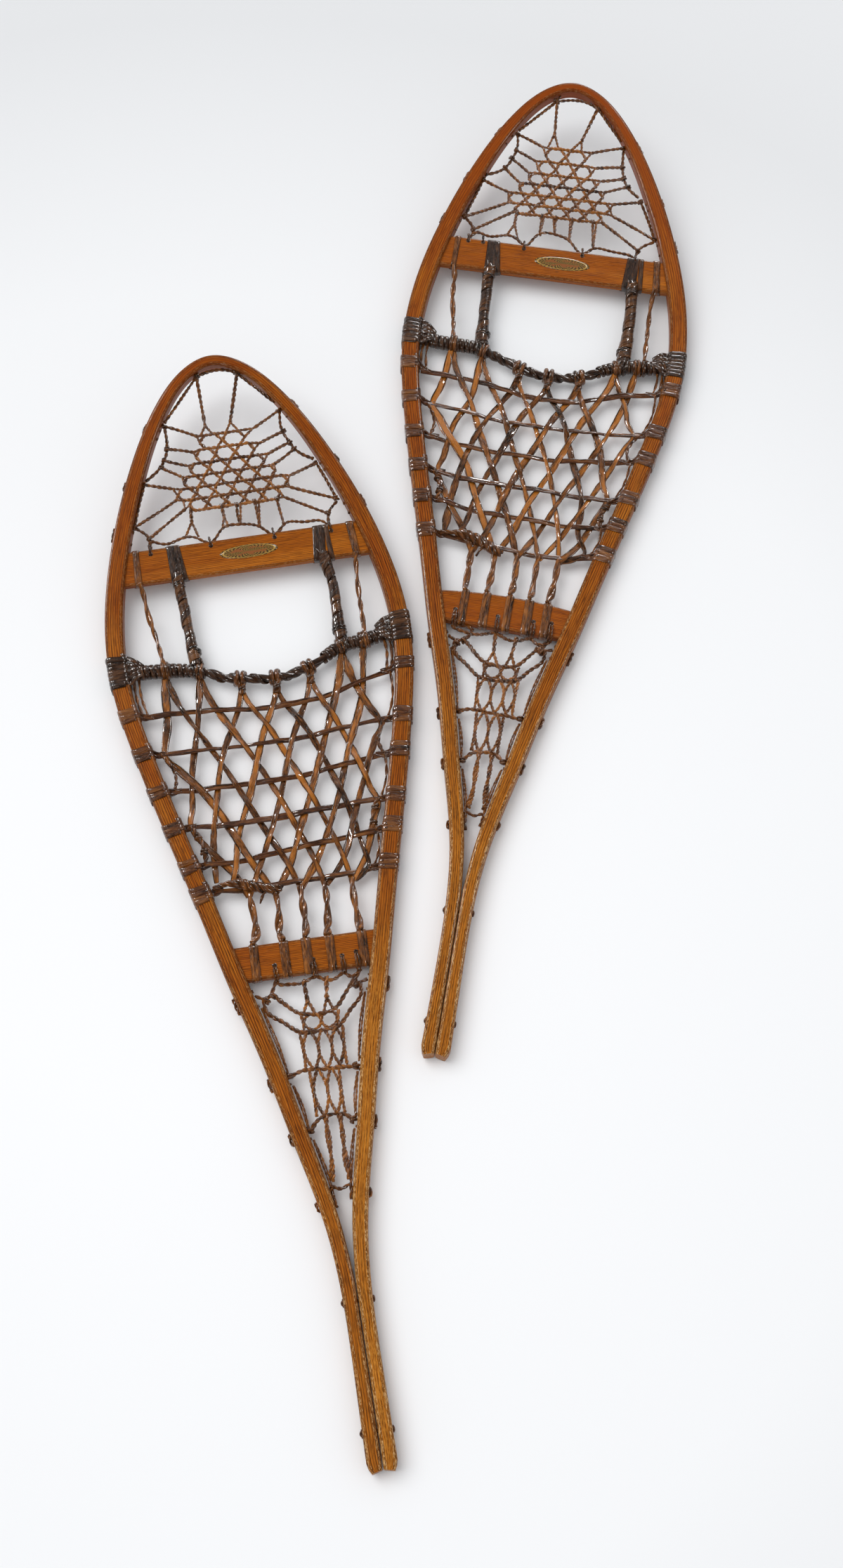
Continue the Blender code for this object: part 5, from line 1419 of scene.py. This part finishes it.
            # the strand's twist on to the wrap
            xw, yw = lace["wefts"][j][0 if side < 0 else -1]
            q, _ = inner_at(side, yw / 1000)
            ym = (y0 + y1) / 2000
            for dy in (-0.0028, 0.0018):
                plied(piece, [(xw / 1000 - side * 0.012, yw / 1000 + dy * 0.5, FOOT_Z + 0.0008),
                              (q[0] - side * 0.004, (yw / 1000 + ym) / 2 + dy, FOOT_Z + 0.0015),
                              (q[0] + side * 0.0016, ym + dy, TOP - 0.002), (q[0] + side * 0.005, ym + dy, TOP + 0.0010)],
                      0.0022, pitch=0.03, tone=-0.2)
        piece.build(N(f"rawhide_cross_strand_{j + 1}"), spec, M_WRAP, body, "rawhide_net", (N(f"cross_strand_{j + 1}"),))

    # ---- tail net and selvage
    dx = lace["tail_dx"]
    r_edge = lambda x: 1000 * (REAR_BAR[0] + spec["rear_skew"] * x / 1000)  # noqa: E731
    net = Piece()
    thick = [
        [(-40, 473), (-28, 460), (-15, 449), (3, 446), (21, 449), (32, 461), (43, 474)],
        [(-50, 471), (-49, 457), (-34, 443), (-20, 431), (2, 428), (24, 432), (37, 446), (49, 459), (50, 472)],
        [(-35, 385), (-20, 390), (0, 388), (20, 387), (33, 385)],
        [(-22, 327), (-12, 338), (0, 341), (12, 340), (22, 332)],
        [(-7, 484), (-6, 462)], [(17, 484), (14, 462)],
    ]
    thin = [[(-6, 462), (-12, 448)], [(-6, 462), (0, 447)], [(14, 462), (9, 447)], [(14, 462), (19, 448)],
            [(-7, 341), (-4, 318), (-6, 296), (-9, 276)], [(-3, 341), (-7, 318), (-5, 296), (-7, 274)],
            [(7, 340), (10, 318), (7, 296), (10, 276)], [(11, 340), (8, 318), (10, 296), (8, 274)]]
    # long cells: doubled uprights that open out where they meet the cross cords
    for top, low, ups, gap in (((447, 430), None, (-13, 5, 22), 7.6), ((430, 389), None, (-17, -2, 12, 24), 6.4),
                               ((388, 341), None, (-13, 1, 14), 6.0)):
        top, low = top
        for k, x in enumerate(ups):
            for sg in (-1, 1):
                if (k == 0 and sg < 0) or (k == len(ups) - 1 and sg > 0):
                    sg *= 0.25
                pinch = x + 0.9 * (1 if sg > 0 else -1)
                lean = -0.06 * x
                thin.append([(x + gap * sg, top), (pinch, top + (low - top) * 0.30), (pinch + lean * 0.6, top + (low - top) * 0.70),
                             (x + lean + gap * sg, low)])
    lines = thick + thin
    lines = [[(x + dx, yy) for x, yy in l] for l in lines]
    smooth = [resample(flat(l, NET_Z), 0.0012) for l in lines]

    def tail_over(i, j):
        return 1 if (i + j) % 2 else -1

    for k, l in enumerate(weave(smooth, tail_over, reach=0.004, lift=0.0012)):
        if k < len(thick):
            plied(net, l, 0.0025, pitch=0.013, smooth=False, step=0.0012, sides=7, tone=-0.05 + RNG.normal() * 0.08)
        else:
            plied(net, l, 0.0020, pitch=0.010, smooth=False, step=0.0012, sides=6, tone=0.10 + RNG.normal() * 0.10)
    for (x, yy), ax in (((-47, 468), (1, 1, 0)), ((46, 470), (1, -1, 0)), ((-35, 386), (0, 1, 0)), ((33, 386), (0, 1, 0)),
                        ((-22, 328), (0, 1, 0)), ((22, 332), (0, 1, 0)), ((-40, 472), (1, 1, 0)), ((43, 473), (1, -1, 0))):
        cord_ring(net, ((x + dx) / 1000, yy / 1000, NET_Z), ax, 0.0028, 0.0016, 1.7, tone=-0.2)
    net.build(N("rawhide_tail_net"), spec, M_NET, body, "rawhide_net", (N("tail_net"),))

    sel = Piece()
    lp, rp = lace["tail_pairs"]["L"], lace["tail_pairs"]["R"]
    holes = lace["rear_holes"]

    def wall(side, yy, off=1.5):
        q, outd = inner_at(side, yy / 1000)
        return (q[0] * 1000 - outd[0] * off, q[1] * 1000 - outd[1] * off)

    top = [wall(-1, lp[0][0]), (-44, 472), (-34, 487)]
    for (xa, _), (xb, _) in zip(holes, holes[1:]):
        mid = (xa + xb) / 2
        top += [(xa, r_edge(xa) - 4.0), (mid - (xb - xa) * 0.22, r_edge(mid) - 8), (mid + (xb - xa) * 0.22, r_edge(mid) - 8)]
    top += [(holes[-1][0], r_edge(holes[-1][0]) - 4), (46, 474), wall(1, rp[0][0])]
    selvage(sel, top, NET_Z - 0.0004, 0.0022, -0.08)
    for side, pr in ((-1, lp), (1, rp)):
        for (_, ya), (yb, _) in zip(pr, pr[1:]):
            a, b = wall(side, ya), wall(side, yb)
            for off in (1.0, 3.2):
                run = [(a[0] - side * off * 0.3, a[1] + 2), ((a[0] + b[0]) / 2 - side * off, (a[1] + b[1]) / 2), (b[0] - side * 0.4, b[1])]
                selvage(sel, run, NET_Z - 0.0006, 0.0011, 0.05)
        for ya, yb in pr:
            outside_loop(sel, side, ya, yb, NET_Z - 0.001, 0.0019, tone=-0.1)
    a, b = wall(-1, lp[-1][1]), wall(1, rp[-1][1])
    selvage(sel, [a, (-8, 269), (0, 266), (8, 269), b], NET_Z, 0.0021, -0.10)
    for x, yy in holes:
        hx, hy = x / 1000, yy / 1000 - 0.0005
        edge = REAR_BAR[0] + spec["rear_skew"] * hx
        hole_shade_disc(sel, hx, hy + 0.0012)
        for ddx in (-0.0012, 0.0014):
            plied(sel, [(hx + ddx * 0.6, hy, BAR_HIGH - 0.0012), (hx + ddx, hy - 0.0022, BAR_HIGH + 0.0010),
                        (hx + ddx * 1.3, edge - 0.0004, BAR_HIGH + 0.0010), (hx + ddx * 1.2, edge - 0.0044, NET_Z)], 0.0013, tone=-0.2)
    sel.build(N("rawhide_tail_selvage"), spec, M_NET, body, "rawhide_net", (N("tail_selvage"),))


for shoe, spec in SHOES.items():
    build(shoe, spec, LACING[shoe])

# ------------------------------------------------------------------ floor, light, camera
SHIFT = (0.0185, -0.1023, 0.0025)
mesh = bpy.data.meshes.new("floor")
R = 60.0
mesh.from_pydata([(-R, -R, 0), (R, -R, 0), (R, R, 0), (-R, R, 0)], [], [(0, 1, 2, 3)])
floor = bpy.data.objects.new("floor", mesh)
bpy.context.scene.collection.objects.link(floor)
fm = Nodes("studio_floor")
where = fm.node("ShaderNodeTexCoord").outputs["Object"]
fx, fy, _ = fm.split(where)
# floor colour lightest round the shoes and darker further out: a painted pool of light
far = fm.math("POWER", fm.math("ADD", fm.math("POWER", fm.math("SUBTRACT", fx, -0.22), 2.0), fm.math("POWER", fm.math("SUBTRACT", fy, -0.22), 2.0)), 0.5)
floor_light_pool = fm.ramp(fm.math("MULTIPLY", far, 0.5), [(0.12, (0.975, 0.978, 0.983, 1)), (0.38, (0.925, 0.930, 0.935, 1)), (0.60, (0.800, 0.806, 0.812, 1)),
                                              (0.95, (0.850, 0.856, 0.862, 1))])
mesh.materials.append(fm.out(Base_Color=floor_light_pool, Roughness=0.9, Specular_IOR_Level=0.1))

world = bpy.data.worlds.new("studio")
bpy.context.scene.world = world
world.use_nodes = True
wt = world.node_tree
bg = wt.nodes["Background"]
bg.inputs[0].default_value = (0.96, 0.975, 1.0, 1)
path = wt.nodes.new("ShaderNodeLightPath")
level = None
for flag, low, high in (("Is Camera Ray", 0.60, 0.86), ("Is Glossy Ray", None, 0.06)):
    pick = wt.nodes.new("ShaderNodeMix")
    pick.data_type = "FLOAT"
    wt.links.new(path.outputs[flag], pick.inputs[0])
    if low is None:
        wt.links.new(level, pick.inputs[2])
    else:
        pick.inputs[2].default_value = low
    pick.inputs[3].default_value = high
    level = pick.outputs[0]
wt.links.new(level, bg.inputs[1])


def softbox(name, at, aim, size, power, colour=(1, 1, 1)):
    light = bpy.data.lights.new(name, "AREA")
    light.shape, light.size, light.size_y = "RECTANGLE", *size
    light.energy, light.color = power, colour
    ob = bpy.data.objects.new(name, light)
    bpy.context.scene.collection.objects.link(ob)
    ob.location = at
    d = np.array(aim) - np.array(at)
    ob.rotation_euler = Vector(d).to_track_quat("-Z", "Y").to_euler()
    return ob


sun = bpy.data.lights.new("sky_panel", "SUN")
sun.energy, sun.angle = 1.42, math.radians(50)
sun_ob = bpy.data.objects.new("sky_panel", sun)
bpy.context.scene.collection.objects.link(sun_ob)
sun_ob.rotation_euler = Vector((-0.95, 0.42, 1.75)).to_track_quat("Z", "Y").to_euler()
sun_ob.visible_glossy = False
softbox("top", (-0.1, -1.3, 2.9), (0, -0.2, 0), (1.8, 1.2), 4).visible_glossy = False
for name, at, size, power in (("glint_left", (-2.2, 1.0, 0.9), (0.35, 0.3), 34), ("glint_back", (0.5, 2.6, 0.9), (0.6, 0.25), 28),
                              ("glint_right", (1.9, 0.2, 1.3), (0.3, 0.3), 14), ("glint_high", (-1.5, 1.3, 2.0), (0.25, 0.25), 22),
                              ("glint_far", (1.2, 2.1, 1.9), (0.25, 0.25), 20), ("glint_near", (-0.9, -2.4, 1.2), (0.3, 0.2), 14)):
    glint = softbox(name, at, (0, 0, 0), size, power)
    glint.visible_diffuse = False

cam_data = bpy.data.cameras.new("camera")
cam_data.sensor_width = 36
cam_data.lens = 2688.15 * 36 / 2233
cam = bpy.data.objects.new("camera", cam_data)
bpy.context.scene.collection.objects.link(cam)
tilt, H, roll = 0.3952134, 2.041429, 0.001704
cam.location = (SHIFT[0], -H * math.sin(tilt) + SHIFT[1], H * math.cos(tilt) + SHIFT[2])
cam.rotation_euler = (Matrix.Rotation(tilt, 3, "X") @ Matrix.Rotation(roll, 3, "Z")).to_euler()
bpy.context.scene.camera = cam
bpy.context.scene.view_settings.view_transform = "Standard"
